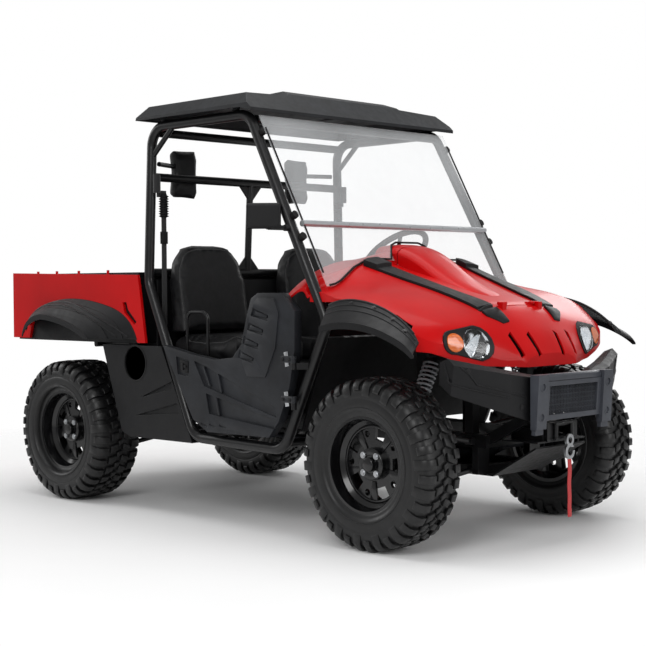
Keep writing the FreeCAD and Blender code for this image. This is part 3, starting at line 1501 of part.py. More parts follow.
def seats():
    """Two cushions and two backs, closed forms for the foam and covers."""
    shapes = []
    h = SEAT_WIDTH / 2
    low = CUSHION_TOP + SEAT_GAP
    for s in (-1, 1):
        y = s * SEAT_Y
        cushion = box(-330, 110, y - h, y + h, SEAT_BASE_TOP + SEAT_GAP, CUSHION_TOP)
        top_edges = [e for e in cushion.Edges if e.BoundBox.ZMin > CUSHION_TOP - 10]
        cushion = cushion.makeFillet(38, top_edges)
        shapes.append(cushion)
        side = prism_y([(-340, low), (-236, low), (-318, 1205), (-366, 1214), (-390, 1200)], y - h, y + h)
        front = prism_x(
            [
                (y - h, low),
                (y + h, low),
                (y + h, 1030),
                (y + h - 26, 1130),
                (y + h - 82, 1196),
                (y + h - 140, 1214),
                (y - h + 140, 1214),
                (y - h + 82, 1196),
                (y - h + 26, 1130),
                (y - h, 1030),
            ],
            -400,
            -200,
        )
        shapes.append(side.common(front))
    return grouped(shapes)


def headrests():
    """Pads on short arms from the rear pillars."""
    pad = box(-478, -420, 288, 440, 1405, 1648)
    pad = pad.makeFillet(20, pad.Edges)
    z = 1560.0
    x = -388.0
    arm = cylinder((-449, 420, z), (x, cage_y(z) - CAGE_TUBE_RADIUS - 2.5, z), 11.0)
    return grouped(both_sides(fused([pad, arm])))


def door_mirror():
    """Mirror outboard of the right pillar, turned towards the driver."""
    z = 1240.0
    x = pillar_x(z)
    y = -cage_y(z) - CAGE_TUBE_RADIUS - WELD_GAP
    head = box(-15, 15, -70, 70, -52, 52)
    head = head.makeFillet(12, head.Edges)
    head.rotate(vec(0, 0, 0), Z_AXIS, -MIRROR_TURN)
    head.translate(vec(*MIRROR_CENTRE))
    foot = cylinder((x, y, z), (x, y - 20, z), 13.0)
    stalk = cylinder((x, y - 14, z), (MIRROR_CENTRE[0] + 6, MIRROR_CENTRE[1] + 20, z + 4), 10.0)
    neck_x = MIRROR_CENTRE[0] + 6
    neck_y = MIRROR_CENTRE[1] + 20
    neck = cylinder((neck_x, neck_y, z - 4), (neck_x, neck_y, z + 24), 9.0)
    return fused([head, foot, stalk, neck])


def grab_hoops():
    low = SEAT_BASE_TOP + SEAT_GAP
    points = [(-182, 570, low), (-182, 570, 897), (-42, 570, 897), (-42, 570, low)]
    hoop = bent_tube(points, 7.0, 38.0)
    return grouped(both_sides(hoop))


def seat_belts():
    """Belt reels on the rear pillars and the webbing down to each seat base."""
    z = 1468.0
    x = -388 + CAGE_TUBE_RADIUS + 17 + WELD_GAP
    y = cage_y(z)
    reel = cylinder((x, y, z - 40), (x, y, z + 40), 17.0)
    strap = box(x - 2, x + 2, 549, 575, SEAT_BASE_TOP + SEAT_GAP, z - 38)
    hook = box(x - 2, x + 2, 549, y, z - 60, z - 30)
    return grouped(both_sides(fused([reel, strap, hook])))


def hitch_receiver():
    half = RECEIVER_OUTER / 2
    inner = RECEIVER_INNER / 2
    tube = box(REAR_END, RAIL_REAR - SEAT_GAP, -half, half, RECEIVER_Z - half, RECEIVER_Z + half)
    bore = box(REAR_END - 1, RAIL_REAR - 6, -inner, inner, RECEIVER_Z - inner, RECEIVER_Z + inner)
    pin = cylinder((HITCH_PIN_X, -100, RECEIVER_Z), (HITCH_PIN_X, 100, RECEIVER_Z), HITCH_PIN_RADIUS)
    return tube.cut([bore, pin])


def steering_rack():
    """Sliding rack with its two tie rods."""
    x = FRONT_AXLE_X - RACK_OFFSET
    end = KINGPIN_Y - 14
    return cylinder((x, -end, RACK_Z), (x, end, RACK_Z), RACK_RADIUS)


def export(name, shape):
    for solid in shape.Solids:
        if not solid.isValid():
            print("INVALID", name)
    print(name, len(shape.Solids), round(shape.Volume / 1e6, 3))
    shape.exportStep("parts/" + name + ".step")


def main():
    os.makedirs("parts", exist_ok=True)
    export("chassis_frame", chassis_frame())
    export("cage_sides", cage_sides())
    export("cage_cross_bars", cage_cross_bars())
    export("roof_panel", roof_panel())
    export("windscreen_panes", windscreen_panes())
    export("windscreen_rail", windscreen_rail())
    export("windscreen_clamps", windscreen_clamps())
    skin = body_skin()
    export("front_cowl", front_cowl(skin))
    export("hood_panel", hood_panel(skin))
    export("hood_strips", hood_strips())
    export("lamp_bezels", lamp_bezels())
    export("lamp_lenses", lamp_lenses())
    export("front_flares", front_flares())
    export("front_bumper", front_bumper())
    export("bumper_guard", bumper_guard())
    export("winch", winch())
    export("winch_hook", winch_hook())
    export("winch_strap", winch_strap())
    export("skid_plate", skid_plate())
    export("front_suspension", grouped(suspension(FRONT_AXLE_X)))
    export("rear_suspension", grouped(suspension(REAR_AXLE_X) + both_sides(rear_carriers())))
    export("shock_absorbers", grouped(shocks(FRONT_AXLE_X) + shocks(REAR_AXLE_X)))
    export("coil_springs", coil_springs())
    export("drivetrain", drivetrain())
    export("engine_block", engine_block())
    export("muffler", muffler())
    export("floor_tub", floor_tub())
    export("dashboard", dashboard(body_solid(BODY_WALL + WELD_GAP)))
    export("rear_side_panels", rear_side_panels())
    export("seats", seats())
    export("headrests", headrests())
    export("grab_hoops", grab_hoops())
    export("seat_belts", seat_belts())
    export("hitch_receiver", hitch_receiver())
    export("steering_wheel", steering_wheel())
    export("steering_rack", steering_rack())
    export("steering_column", steering_column())
    export("door_mirror", door_mirror())
    left_knuckle = knuckle()
    export("knuckle_left", left_knuckle)
    export("knuckle_right", mirrored(left_knuckle))
    front_tyre = tyre(FRONT_TYRE_WIDTH)
    rear_tyre = tyre(REAR_TYRE_WIDTH)
    wheel_rim = rim()
    for end, x, carcass in (("front", FRONT_AXLE_X, front_tyre), ("rear", REAR_AXLE_X, rear_tyre)):
        for side_name, side in (("right", -1), ("left", 1)):
            export("tyre_%s_%s" % (end, side_name), placed_wheel(carcass, x, side))
            export("rim_%s_%s" % (end, side_name), placed_wheel(wheel_rim, x, side))
    right_door = door()
    export("door_right", right_door)
    export("door_left", mirrored(right_door))
    export("bed_tub", bed_tub())
    export("bed_side_panels", bed_side_panels())
    export("rear_flares", rear_flares())
    export("tailgate", tailgate())
    export("tail_lamps", tail_lamps())


main()
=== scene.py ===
"""Looks of a side by side utility vehicle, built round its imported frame.

Metres, in the frame's own axes: +X forward, +Y to the vehicle's left, +Z up, ground at z = 0.
"""

import math

import bmesh
import bpy
from mathutils import Matrix, Vector
from mathutils.bvhtree import BVHTree


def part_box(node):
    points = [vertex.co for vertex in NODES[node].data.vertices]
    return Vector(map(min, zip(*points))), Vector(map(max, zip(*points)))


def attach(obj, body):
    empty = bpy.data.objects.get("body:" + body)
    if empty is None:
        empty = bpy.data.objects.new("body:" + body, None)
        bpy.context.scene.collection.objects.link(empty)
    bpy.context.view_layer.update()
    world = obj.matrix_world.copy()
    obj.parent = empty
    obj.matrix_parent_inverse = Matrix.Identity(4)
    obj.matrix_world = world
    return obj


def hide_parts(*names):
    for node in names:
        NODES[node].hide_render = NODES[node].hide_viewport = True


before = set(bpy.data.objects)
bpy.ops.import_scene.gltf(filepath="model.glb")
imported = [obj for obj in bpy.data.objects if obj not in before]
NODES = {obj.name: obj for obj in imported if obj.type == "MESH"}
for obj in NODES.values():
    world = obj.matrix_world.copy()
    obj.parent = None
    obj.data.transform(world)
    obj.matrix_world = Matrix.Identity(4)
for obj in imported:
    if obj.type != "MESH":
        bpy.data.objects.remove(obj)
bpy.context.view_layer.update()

bl_info = {
    "name": "Side by side utility vehicle",
    "version": (1, 0, 0),
    "blender": (4, 5, 0),
    "location": "View3D > Sidebar > Vehicle",
    "description": "Dresses the frame of a two-seat side by side utility vehicle",
    "category": "Object",
}

AXIS_X = Vector((1.0, 0.0, 0.0))
AXIS_Y = Vector((0.0, 1.0, 0.0))
AXIS_Z = Vector((0.0, 0.0, 1.0))


# Colour and nodes


def linear(hex_value):
    """sRGB hex to the linear RGBA that a shader socket takes."""
    channels = []
    for start in (1, 3, 5):
        value = int(hex_value[start:start + 2], 16) / 255
        low = value / 12.92
        high = ((value + 0.055) / 1.055) ** 2.4
        channels.append(low if value <= 0.04045 else high)
    return (*channels, 1.0)


def add(tree, kind, values=None, links=None, **settings):
    """One node with its settings, its socket values and the sockets that feed it."""
    made = tree.nodes.new(kind)
    for name, value in settings.items():
        setattr(made, name, value)
    for name, value in (values or {}).items():
        made.inputs[name].default_value = value
    for name, source in (links or {}).items():
        tree.links.new(source, made.inputs[name])
    return made


def new_finish(name):
    """Material with its Principled shader and the Object coordinates that its patterns read."""
    material = bpy.data.materials.new(name)
    material.use_nodes = True
    tree = material.node_tree
    place = add(tree, "ShaderNodeTexCoord").outputs["Object"]
    return material, tree, tree.nodes["Principled BSDF"], place


def two_tone(tree, shader, place, size, dark, light):
    """Blotches of about the given size, between two close shades."""
    blotches = add(
        tree, "ShaderNodeTexNoise", {"Scale": 1.0 / size, "Detail": 4.0, "Roughness": 0.55}, {"Vector": place}
    )
    contrast = add(
        tree, "ShaderNodeMapRange", {"From Min": 0.3, "From Max": 0.7}, {"Value": blotches.outputs["Fac"]}
    )
    mixed = add(
        tree,
        "ShaderNodeMix",
        {6: linear(dark), 7: linear(light)},
        {0: contrast.outputs["Result"]},
        data_type="RGBA",
    )
    tree.links.new(mixed.outputs[2], shader.inputs["Base Color"])


def uneven_sheen(tree, shader, place, size, smoothest, roughest):
    """Roughness that wanders over the surface, as wiped and handled surfaces have."""
    patches = add(tree, "ShaderNodeTexNoise", {"Scale": 1.0 / size, "Detail": 3.0}, {"Vector": place})
    mapped = add(
        tree,
        "ShaderNodeMapRange",
        {"From Min": 0.3, "From Max": 0.7, "To Min": smoothest, "To Max": roughest},
        {"Value": patches.outputs["Fac"]},
    )
    tree.links.new(mapped.outputs["Result"], shader.inputs["Roughness"])


def relief(tree, shader, height, depth, strength, edge=0.0):
    """Turns a height into the shader's normal, over softly broken edges where a radius is given."""
    bump = add(tree, "ShaderNodeBump", {"Strength": strength, "Distance": depth}, {"Height": height})
    if edge:
        broken = add(tree, "ShaderNodeBevel", {"Radius": edge}, samples=4)
        tree.links.new(broken.outputs["Normal"], bump.inputs["Normal"])
    tree.links.new(bump.outputs["Normal"], shader.inputs["Normal"])


# Finishes


def gloss_red_moulding(colours):
    """Moulded ABS with a clear top coat: deep, mirror-like, with a trace of orange peel."""
    material, tree, shader, place = new_finish("gloss_red_abs")
    two_tone(tree, shader, place, 0.35, colours.red_shade, colours.red)
    shader.inputs["Roughness"].default_value = 0.34
    shader.inputs["Specular IOR Level"].default_value = 0.12
    shader.inputs["Coat Weight"].default_value = 0.10
    shader.inputs["Coat Roughness"].default_value = 0.06
    peel = add(tree, "ShaderNodeTexNoise", {"Scale": 160.0, "Detail": 2.0}, {"Vector": place})
    relief(tree, shader, peel.outputs["Fac"], 0.00006, 0.5, edge=0.003)
    return material


def grained_moulding(name, dark, light, grain, smoothest, roughest, edge=0.003):
    """Moulded polypropylene: leathery grain, drawn a little coarser than real so that it shows."""
    material, tree, shader, place = new_finish(name)
    two_tone(tree, shader, place, 0.09, dark, light)
    uneven_sheen(tree, shader, place, 0.03, smoothest, roughest)
    shader.inputs["Specular IOR Level"].default_value = 0.28
    cells = add(
        tree, "ShaderNodeTexVoronoi", {"Scale": 1.0 / grain}, {"Vector": place}, feature="SMOOTH_F1"
    )
    relief(tree, shader, cells.outputs["Distance"], grain * 0.12, 0.5, edge)
    return material


def coated_steel(name, dark, light, smoothest, roughest):
    """Powder-coated steel: satin, with the faint orange peel of cured powder."""
    material, tree, shader, place = new_finish(name)
    two_tone(tree, shader, place, 0.12, dark, light)
    uneven_sheen(tree, shader, place, 0.02, smoothest, roughest)
    shader.inputs["Specular IOR Level"].default_value = 0.35
    shader.inputs["Coat Weight"].default_value = 0.12
    shader.inputs["Coat Roughness"].default_value = 0.2
    peel = add(tree, "ShaderNodeTexNoise", {"Scale": 280.0, "Detail": 2.0}, {"Vector": place})
    relief(tree, shader, peel.outputs["Fac"], 0.0001, 0.6, edge=0.0015)
    return material


def bare_metal(name, dark, light, smoothest, roughest, pits, depth):
    """Cast, plated or heat-dulled metal with pits of the given size."""
    material, tree, shader, place = new_finish(name)
    two_tone(tree, shader, place, 0.03, dark, light)
    shader.inputs["Metallic"].default_value = 1.0
    uneven_sheen(tree, shader, place, 0.012, smoothest, roughest)
    skin = add(tree, "ShaderNodeTexNoise", {"Scale": 1.0 / pits, "Detail": 3.0}, {"Vector": place})
    relief(tree, shader, skin.outputs["Fac"], depth, 0.6, edge=0.0012)
    return material


def drawn_aluminium():
    """Extruded, clear-anodised aluminium: pale, with long draw lines along the profile."""
    material, tree, shader, place = new_finish("anodised_aluminium")
    along = add(tree, "ShaderNodeMapping", {"Scale": (900.0, 20.0, 900.0)}, {"Vector": place})
    lines = add(
        tree, "ShaderNodeTexNoise", {"Scale": 1.0, "Detail": 4.0}, {"Vector": along.outputs["Vector"]}
    )
    shade = add(
        tree,
        "ShaderNodeMix",
        {6: linear("#B9BCC0"), 7: linear("#DCDEE0")},
        {0: lines.outputs["Fac"]},
        data_type="RGBA",
    )
    tree.links.new(shade.outputs[2], shader.inputs["Base Color"])
    shader.inputs["Metallic"].default_value = 0.9
    uneven_sheen(tree, shader, place, 0.02, 0.26, 0.4)
    relief(tree, shader, lines.outputs["Fac"], 0.00008, 0.5)
    return material


def clear_sheet(colours):
    """Clear polycarbonate: mostly see-through, with a painted pale sheen: a faint, patchy veil of its pale
    colour stands in for the room's reflection.
    """
    material, tree, shader, place = new_finish("clear_polycarbonate")
    shader.inputs["Base Color"].default_value = linear(colours.sheet)
    shader.inputs["Roughness"].default_value = 0.05
    shader.inputs["Coat Weight"].default_value = 0.5
    shader.inputs["Coat Roughness"].default_value = 0.03
    # Painted pale sheen: the pale base colour shows at a patchy 15 to 24 per cent opacity, in place of a
    # reflection.
    painted_sheen_patches = add(tree, "ShaderNodeTexNoise", {"Scale": 2.5, "Detail": 3.0}, {"Vector": place})
    painted_sheen_alpha = add(
        tree,
        "ShaderNodeMapRange",
        {"From Min": 0.3, "From Max": 0.7, "To Min": 0.15, "To Max": 0.24},
        {"Value": painted_sheen_patches.outputs["Fac"]},
    )
    tree.links.new(painted_sheen_alpha.outputs["Result"], shader.inputs["Alpha"])
    return material


def clear_lens():
    """Moulded clear lens: hard and bright, faintly fluted."""
    material, tree, shader, place = new_finish("moulded_clear_lens")
    shader.inputs["Base Color"].default_value = linear("#F6F8FA")
    shader.inputs["Roughness"].default_value = 0.04
    shader.inputs["Transmission Weight"].default_value = 1.0
    shader.inputs["IOR"].default_value = 1.49
    flutes = add(
        tree, "ShaderNodeTexWave", {"Scale": 55.0, "Distortion": 0.0}, {"Vector": place}, bands_direction="Y"
    )
    relief(tree, shader, flutes.outputs["Fac"], 0.0002, 0.2)
    return material


def tinted_lens(name, colour, deep):
    """Coloured moulded lens with ribs that catch the light, and a painted highlight: the lens colour is painted
    brighter on the rib crests and deeper in the troughs.
    """
    material, tree, shader, place = new_finish(name)
    ribs = add(
        tree, "ShaderNodeTexWave", {"Scale": 60.0, "Distortion": 0.0}, {"Vector": place}, bands_direction="Z"
    )
    # Painted highlight and shade on the ribs: the lens colour, brighter on the crests, deeper in the troughs.
    lens_colour_and_rib_glint = add(
        tree,
        "ShaderNodeMix",
        {6: linear(deep), 7: linear(colour)},
        {0: ribs.outputs["Fac"]},
        data_type="RGBA",
    )
    tree.links.new(lens_colour_and_rib_glint.outputs[2], shader.inputs["Base Color"])
    shader.inputs["Roughness"].default_value = 0.12
    shader.inputs["Coat Weight"].default_value = 1.0
    shader.inputs["Coat Roughness"].default_value = 0.03
    relief(tree, shader, ribs.outputs["Fac"], 0.0003, 0.4)
    return material


def tyre_rubber():
    """Moulded rubber: near black, soft sheen, slightly dusty in patches."""
    material, tree, shader, place = new_finish("moulded_tyre_rubber")
    two_tone(tree, shader, place, 0.05, "#09090A", "#121213")
    uneven_sheen(tree, shader, place, 0.02, 0.36, 0.5)
    shader.inputs["Specular IOR Level"].default_value = 0.45
    skin = add(tree, "ShaderNodeTexNoise", {"Scale": 400.0, "Detail": 4.0}, {"Vector": place})
    relief(tree, shader, skin.outputs["Fac"], 0.00025, 0.6)
    return material


def wheel_enamel():
    """Stoved black enamel on a pressed wheel: very glossy and smooth."""
    material, tree, shader, place = new_finish("gloss_black_enamel")
    two_tone(tree, shader, place, 0.06, "#060607", "#0C0C0E")
    shader.inputs["Roughness"].default_value = 0.24
    shader.inputs["Specular IOR Level"].default_value = 0.35
    shader.inputs["Coat Weight"].default_value = 0.35
    shader.inputs["Coat Roughness"].default_value = 0.08
    peel = add(tree, "ShaderNodeTexNoise", {"Scale": 250.0, "Detail": 2.0}, {"Vector": place})
    relief(tree, shader, peel.outputs["Fac"], 0.00005, 0.5, edge=0.0015)
    return material


def grained_vinyl():
    """Calendered vinyl seat cover: pebbled grain of about 2 mm over soft creases."""
    material, tree, shader, place = new_finish("grained_seat_vinyl")
    two_tone(tree, shader, place, 0.05, "#0C0C0D", "#151517")
    uneven_sheen(tree, shader, place, 0.02, 0.40, 0.56)
    shader.inputs["Specular IOR Level"].default_value = 0.3
    pebbles = add(
        tree, "ShaderNodeTexVoronoi", {"Scale": 420.0}, {"Vector": place}, feature="DISTANCE_TO_EDGE"
    )
    creases = add(tree, "ShaderNodeTexNoise", {"Scale": 60.0, "Detail": 4.0}, {"Vector": place})
    both = add(
        tree,
        "ShaderNodeMath",
        None,
        {0: pebbles.outputs["Distance"], 1: creases.outputs["Fac"]},
        operation="ADD",
    )
    relief(tree, shader, both.outputs["Value"], 0.0006, 0.5)
    return material


def woven_strap(name, dark, light):
    """Woven webbing with ribs of about 1.5 mm, with painted light and shade: the webbing's colour is painted
    lighter on the rib crests and darker in the grooves.
    """
    material, tree, shader, place = new_finish(name)
    ribs = add(
        tree,
        "ShaderNodeTexWave",
        {"Scale": 105.0, "Distortion": 0.6},
        {"Vector": place},
        bands_direction="DIAGONAL",
    )
    # Webbing colour with painted light and shade: lighter on the rib crests, darker in the grooves.
    shade = add(
        tree,
        "ShaderNodeMix",
        {6: linear(dark), 7: linear(light)},
        {0: ribs.outputs["Fac"]},
        data_type="RGBA",
    )
    tree.links.new(shade.outputs[2], shader.inputs["Base Color"])
    shader.inputs["Roughness"].default_value = 0.8
    shader.inputs["Sheen Weight"].default_value = 0.3
    relief(tree, shader, ribs.outputs["Fac"], 0.0006, 0.7)
    return material


FINISHES = {}


def make_finishes(colours):
    """Every material of the vehicle, made once and named for its real finish."""
    FINISHES.update(
        red=gloss_red_moulding(colours),
        black=grained_moulding("grained_black_polypropylene", "#0B0B0D", "#121214", 0.0022, 0.40, 0.54),
        charcoal=grained_moulding("charcoal_door_moulding", "#1B1C1F", "#26282C", 0.0022, 0.40, 0.52),
        roof=grained_moulding("textured_roof_moulding", "#18191B", "#222427", 0.004, 0.42, 0.56),
        tube=coated_steel("black_powder_coat", "#0A0A0B", "#111113", 0.28, 0.42),
        guard=coated_steel("graphite_powder_coat", "#33353B", "#41444B", 0.36, 0.50),
        cast=bare_metal("cast_alloy", "#19191B", "#2B2C30", 0.45, 0.65, 0.004, 0.0004),
        zinc=bare_metal("zinc_plate", "#9FA1A4", "#C4C6C8", 0.25, 0.42, 0.006, 0.00008),
        dulled=bare_metal("heat_dulled_steel", "#4A453F", "#77706A", 0.38, 0.58, 0.005, 0.0001),
        reflector=bare_metal("metallised_reflector", "#C9CDD2", "#F0F2F4", 0.06, 0.14, 0.02, 0.00002),
        spring=coated_steel("grey_spring_enamel", "#8A8C90", "#A5A7AB", 0.32, 0.45),
        aluminium=drawn_aluminium(),
        sheet=clear_sheet(colours),
        lens=clear_lens(),
        # Lens colour pairs: the lens's own colour, painted brighter on the rib crests and deeper in the troughs
        # as highlight and shade.
        amber=tinted_lens("amber_lens", "#F0760A", "#B84A04"),
        red_lens=tinted_lens("red_lens", "#C5140C", "#7A0806"),
        tyre=tyre_rubber(),
        rim=wheel_enamel(),
        vinyl=grained_vinyl(),
        # Webbing colour pairs: the webbing's own colour, painted lighter on the rib crests and darker in the
        # grooves as light and shade.
        belt=woven_strap("black_belt_webbing", "#0B0B0C", "#1A1A1C"),
        strap=woven_strap("red_strap_webbing", "#8E0D10", "#C8161A"),
        rubber=grained_moulding("moulded_rubber", "#0B0B0C", "#141415", 0.003, 0.55, 0.7),
    )


# Sizes that the frame's solids give, in metres

SIDES = ("right", "left")
WHEELS = ("front_right", "front_left", "rear_right", "rear_left")
TYRE_RADIUS = 0.330
PANEL_FACE_Y = 0.648
FRONT_AXLE_X = 0.975
REAR_AXLE_X = -0.975
CARCASS_FACETS = 96
RING_FACETS = 72
TREAD_PITCHES = 18
PAD_VOXEL = 0.0055
PAD_FRAMES = 20
CROWN = 0.012
STRAP_ROUTE = [
    (1.4360, 0.0, 0.3297),
    (1.4360, 0.005, 0.290),
    (1.4370, -0.004, 0.236),
    (1.4350, 0.004, 0.180),
    (1.4370, -0.002, 0.140),
    (1.4360, 0.002, 0.104),
]
STRAP_WIDTH = 0.024
STRAP_THICKNESS = 0.003
FRONT_FLARE_TOP = [
    (0.772, 0.938), (0.852, 0.956), (0.935, 0.954), (1.040, 0.930), (1.135, 0.886), (1.215, 0.820),
    (1.240, 0.770),
]
FRONT_FLARE_LIP = [
    (0.800, 0.852), (0.880, 0.868), (0.980, 0.868), (1.080, 0.852), (1.180, 0.818), (1.250, 0.780),
    (1.275, 0.752),
]

# CAD nodes that keep their own shape, and the finish of each
CARRIED = {
    "chassis_frame": "tube", "cage_sides": "tube", "cage_cross_bars": "tube", "roof_panel": "roof",
    "windscreen_panes": "sheet", "windscreen_rail": "aluminium", "windscreen_clamps": "rubber",
    "front_cowl": "red", "hood_panel": "red", "hood_strips": "black", "lamp_bezels": "black",
    "front_flares": "black", "rear_flares": "black", "front_bumper": "black",
    "bumper_guard": "guard", "winch": "tube", "winch_hook": "zinc", "skid_plate": "tube",
    "front_suspension": "tube", "rear_suspension": "tube", "shock_absorbers": "tube",
    "drivetrain": "cast", "engine_block": "cast", "muffler": "dulled", "floor_tub": "black",
    "dashboard": "black", "rear_side_panels": "black", "grab_hoops": "tube", "seat_belts": "belt",
    "hitch_receiver": "tube", "steering_column": "tube", "door_mirror": "black",
    "steering_wheel": "black", "steering_rack": "zinc", "knuckle_right": "cast",
    "knuckle_left": "cast", "door_right": "charcoal", "door_left": "charcoal", "bed_tub": "black",
    "bed_side_panels": "red", "tailgate": "red", "tail_lamps": "red_lens",
}


# Making forms


class Form:
    """Corners and faces of a piece while it is being made."""

    def __init__(self):
        self.corners = []
        self.faces = []

    def put(self, corners, faces):
        start = len(self.corners)
        self.corners += [Vector(corner) for corner in corners]
        self.faces += [tuple(index + start for index in face) for face in faces]

    def mirror(self):
        """The same again on the other side of the vehicle."""
        self.put(
            [(corner.x, -corner.y, corner.z) for corner in self.corners],
            [tuple(reversed(face)) for face in self.faces],
        )
        return self


def square_axes(along):
    """Two unit directions square to a third."""
    along = along.normalized()
    other = AXIS_Z if abs(along.z) < 0.9 else AXIS_X
    first = along.cross(other).normalized()
    return first, along.cross(first)


def rings_joined(form, rings, closed=False, capped=True):
    """Skin over rings with as many corners each."""
    count = len(rings[0])
    corners = [corner for ring in rings for corner in ring]
    faces = []
    spans = len(rings) if closed else len(rings) - 1
    for i in range(spans):
        a = i * count
        b = ((i + 1) % len(rings)) * count
        for j in range(count):
            n = (j + 1) % count
            faces.append((a + j, a + n, b + n, b + j))
    if capped and not closed:
        faces.append(tuple(reversed(range(count))))
        faces.append(tuple(range((len(rings) - 1) * count, len(rings) * count)))
    form.put(corners, faces)


def tube(form, points, radius, sides=10, closed=False):
    """Round bar along a line of points, with frames carried along it."""
    points = [Vector(point) for point in points]
    count = len(points)
    rings = []
    across = None
    for index, point in enumerate(points):
        before = points[index - 1] if index or closed else point
        after = points[(index + 1) % count] if index < count - 1 or closed else point
        along = (after - before).normalized()
        if across is None:
            across, deep = square_axes(along)
        across = (across - along * across.dot(along)).normalized()
        deep = along.cross(across)
        ring = []
        for k in range(sides):
            angle = 2 * math.pi * k / sides
            ring.append(point + (across * math.cos(angle) + deep * math.sin(angle)) * radius)
        rings.append(ring)
    rings_joined(form, rings, closed)


def lathe(form, profile, origin, axis, segments=48, closed=False):
    """Profile of (radius, height) pairs turned round an axis."""
    axis = Vector(axis).normalized()
    origin = Vector(origin)
    first, second = square_axes(axis)
    rings = []
    for radius, height in profile:
        ring = []
        for k in range(segments):
            angle = 2 * math.pi * k / segments
            way = first * math.cos(angle) + second * math.sin(angle)
            ring.append(origin + axis * height + way * radius)
        rings.append(ring)
    rings_joined(form, rings, closed)


def slab(form, outline, thickness):
    """Flat outline of points given a thickness along a vector."""
    outline = [Vector(point) for point in outline]
    thickness = Vector(thickness)
    rings_joined(form, [outline, [point + thickness for point in outline]])


def side_slab(form, outline, y0, y1):
    """Slab whose side view is the outline of (x, z) pairs."""
    slab(form, [(x, y0, z) for x, z in outline], (0.0, y1 - y0, 0.0))


def smooth_line(points, steps=6):
    """Catmull-Rom line through points."""
    points = [Vector(point) for point in points]
    line = []
    for i in range(len(points) - 1):
        p0 = points[max(i - 1, 0)]
        p1 = points[i]
        p2 = points[i + 1]
        p3 = points[min(i + 2, len(points) - 1)]
        for k in range(steps):
            t = k / steps
            line.append(
                0.5 * (2 * p1 + (p2 - p0) * t + (2 * p0 - 5 * p1 + 4 * p2 - p3) * t * t
                       + (3 * p1 - p0 - 3 * p2 + p3) * t * t * t)
            )
    line.append(points[-1])
    return line


def linked(name, mesh):
    obj = bpy.data.objects.new(name, mesh)
    bpy.context.scene.collection.objects.link(obj)
    return obj


def applied(obj):
    """The object's mesh with its modifiers worked in, and the modifiers gone."""
    graph = bpy.context.evaluated_depsgraph_get()
    mesh = bpy.data.meshes.new_from_object(obj.evaluated_get(graph), depsgraph=graph)
    mesh.name = obj.name
    obj.modifiers.clear()
    old = obj.data
    obj.data = mesh
    bpy.data.meshes.remove(old)
    return obj


def smoothed(mesh, sharp):
    mesh.polygons.foreach_set("use_smooth", [True] * len(mesh.polygons))
    mesh.set_sharp_from_angle(angle=math.radians(sharp))


def put_finish(obj, key):
    obj.data.materials.clear()
    obj.data.materials.append(FINISHES[key])


def settled(obj, key, body, replaces=()):
    """Give a made piece its finish, its body and the nodes that it stands for."""
    put_finish(obj, key)
    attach(obj, body)
    if replaces:
        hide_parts(*replaces)
    return obj


def piece(form, name, key, body, replaces=(), bevel=0.0, sharp=35.0):
    """Closed, outward-facing object from a form, its edges broken by the bevel."""
    mesh = bpy.data.meshes.new(name)
    mesh.from_pydata(form.corners, [], form.faces)
    work = bmesh.new()
    work.from_mesh(mesh)
    bmesh.ops.remove_doubles(work, verts=work.verts, dist=1e-6)
    bmesh.ops.recalc_face_normals(work, faces=work.faces)
    work.to_mesh(mesh)
    work.free()
    obj = linked(name, mesh)
    if bevel:
        edge = obj.modifiers.new("broken_edges", "BEVEL")
        edge.width = bevel
        edge.segments = 2
        edge.limit_method = "ANGLE"
        edge.angle_limit = math.radians(40.0)
        applied(obj)
    smoothed(obj.data, sharp)
    return settled(obj, key, body, replaces)


# Geometry Nodes


def new_tree(name, sizes):
    """Geometry tree with named inputs. Gives the tree, its input node and the sockets' identifiers."""
    tree = bpy.data.node_groups.new(name, "GeometryNodeTree")
    tree.interface.new_socket("Geometry", in_out="INPUT", socket_type="NodeSocketGeometry")
    keys = {}
    for label, kind in sizes:
        keys[label] = tree.interface.new_socket(label, in_out="INPUT", socket_type=kind).identifier
    tree.interface.new_socket("Geometry", in_out="OUTPUT", socket_type="NodeSocketGeometry")
    return tree, add(tree, "NodeGroupInput"), keys


def end_tree(tree, given, geometry):
    """Realised instances with the finish set, into the tree's output."""
    real = add(tree, "GeometryNodeRealizeInstances", None, {"Geometry": geometry})
    dressed = add(
        tree,
        "GeometryNodeSetMaterial",
        None,
        {"Geometry": real.outputs["Geometry"], "Material": given.outputs["Finish"]},
    )
    add(tree, "NodeGroupOutput", None, {"Geometry": dressed.outputs["Geometry"]})


def round_repeat_tree():
    """Copies of the given form, evenly turned round the Y axis."""
    tree, given, keys = new_tree(
        "round_repeat", [("Count", "NodeSocketInt"), ("Finish", "NodeSocketMaterial")]
    )
    spots = add(tree, "GeometryNodePoints", None, {"Count": given.outputs["Count"]})
    index = add(tree, "GeometryNodeInputIndex")
    step = add(tree, "ShaderNodeMath", {0: 2 * math.pi}, {1: given.outputs["Count"]}, operation="DIVIDE")
    angle = add(
        tree,
        "ShaderNodeMath",
        None,
        {0: index.outputs["Index"], 1: step.outputs["Value"]},
        operation="MULTIPLY",
    )
    turn = add(tree, "ShaderNodeCombineXYZ", None, {"Y": angle.outputs["Value"]})
    copies = add(
        tree,
        "GeometryNodeInstanceOnPoints",
        None,
        {
            "Points": spots.outputs["Points"],
            "Instance": given.outputs["Geometry"],
            "Rotation": turn.outputs["Vector"],
        },
    )
    end_tree(tree, given, copies.outputs["Instances"])
    return tree, keys


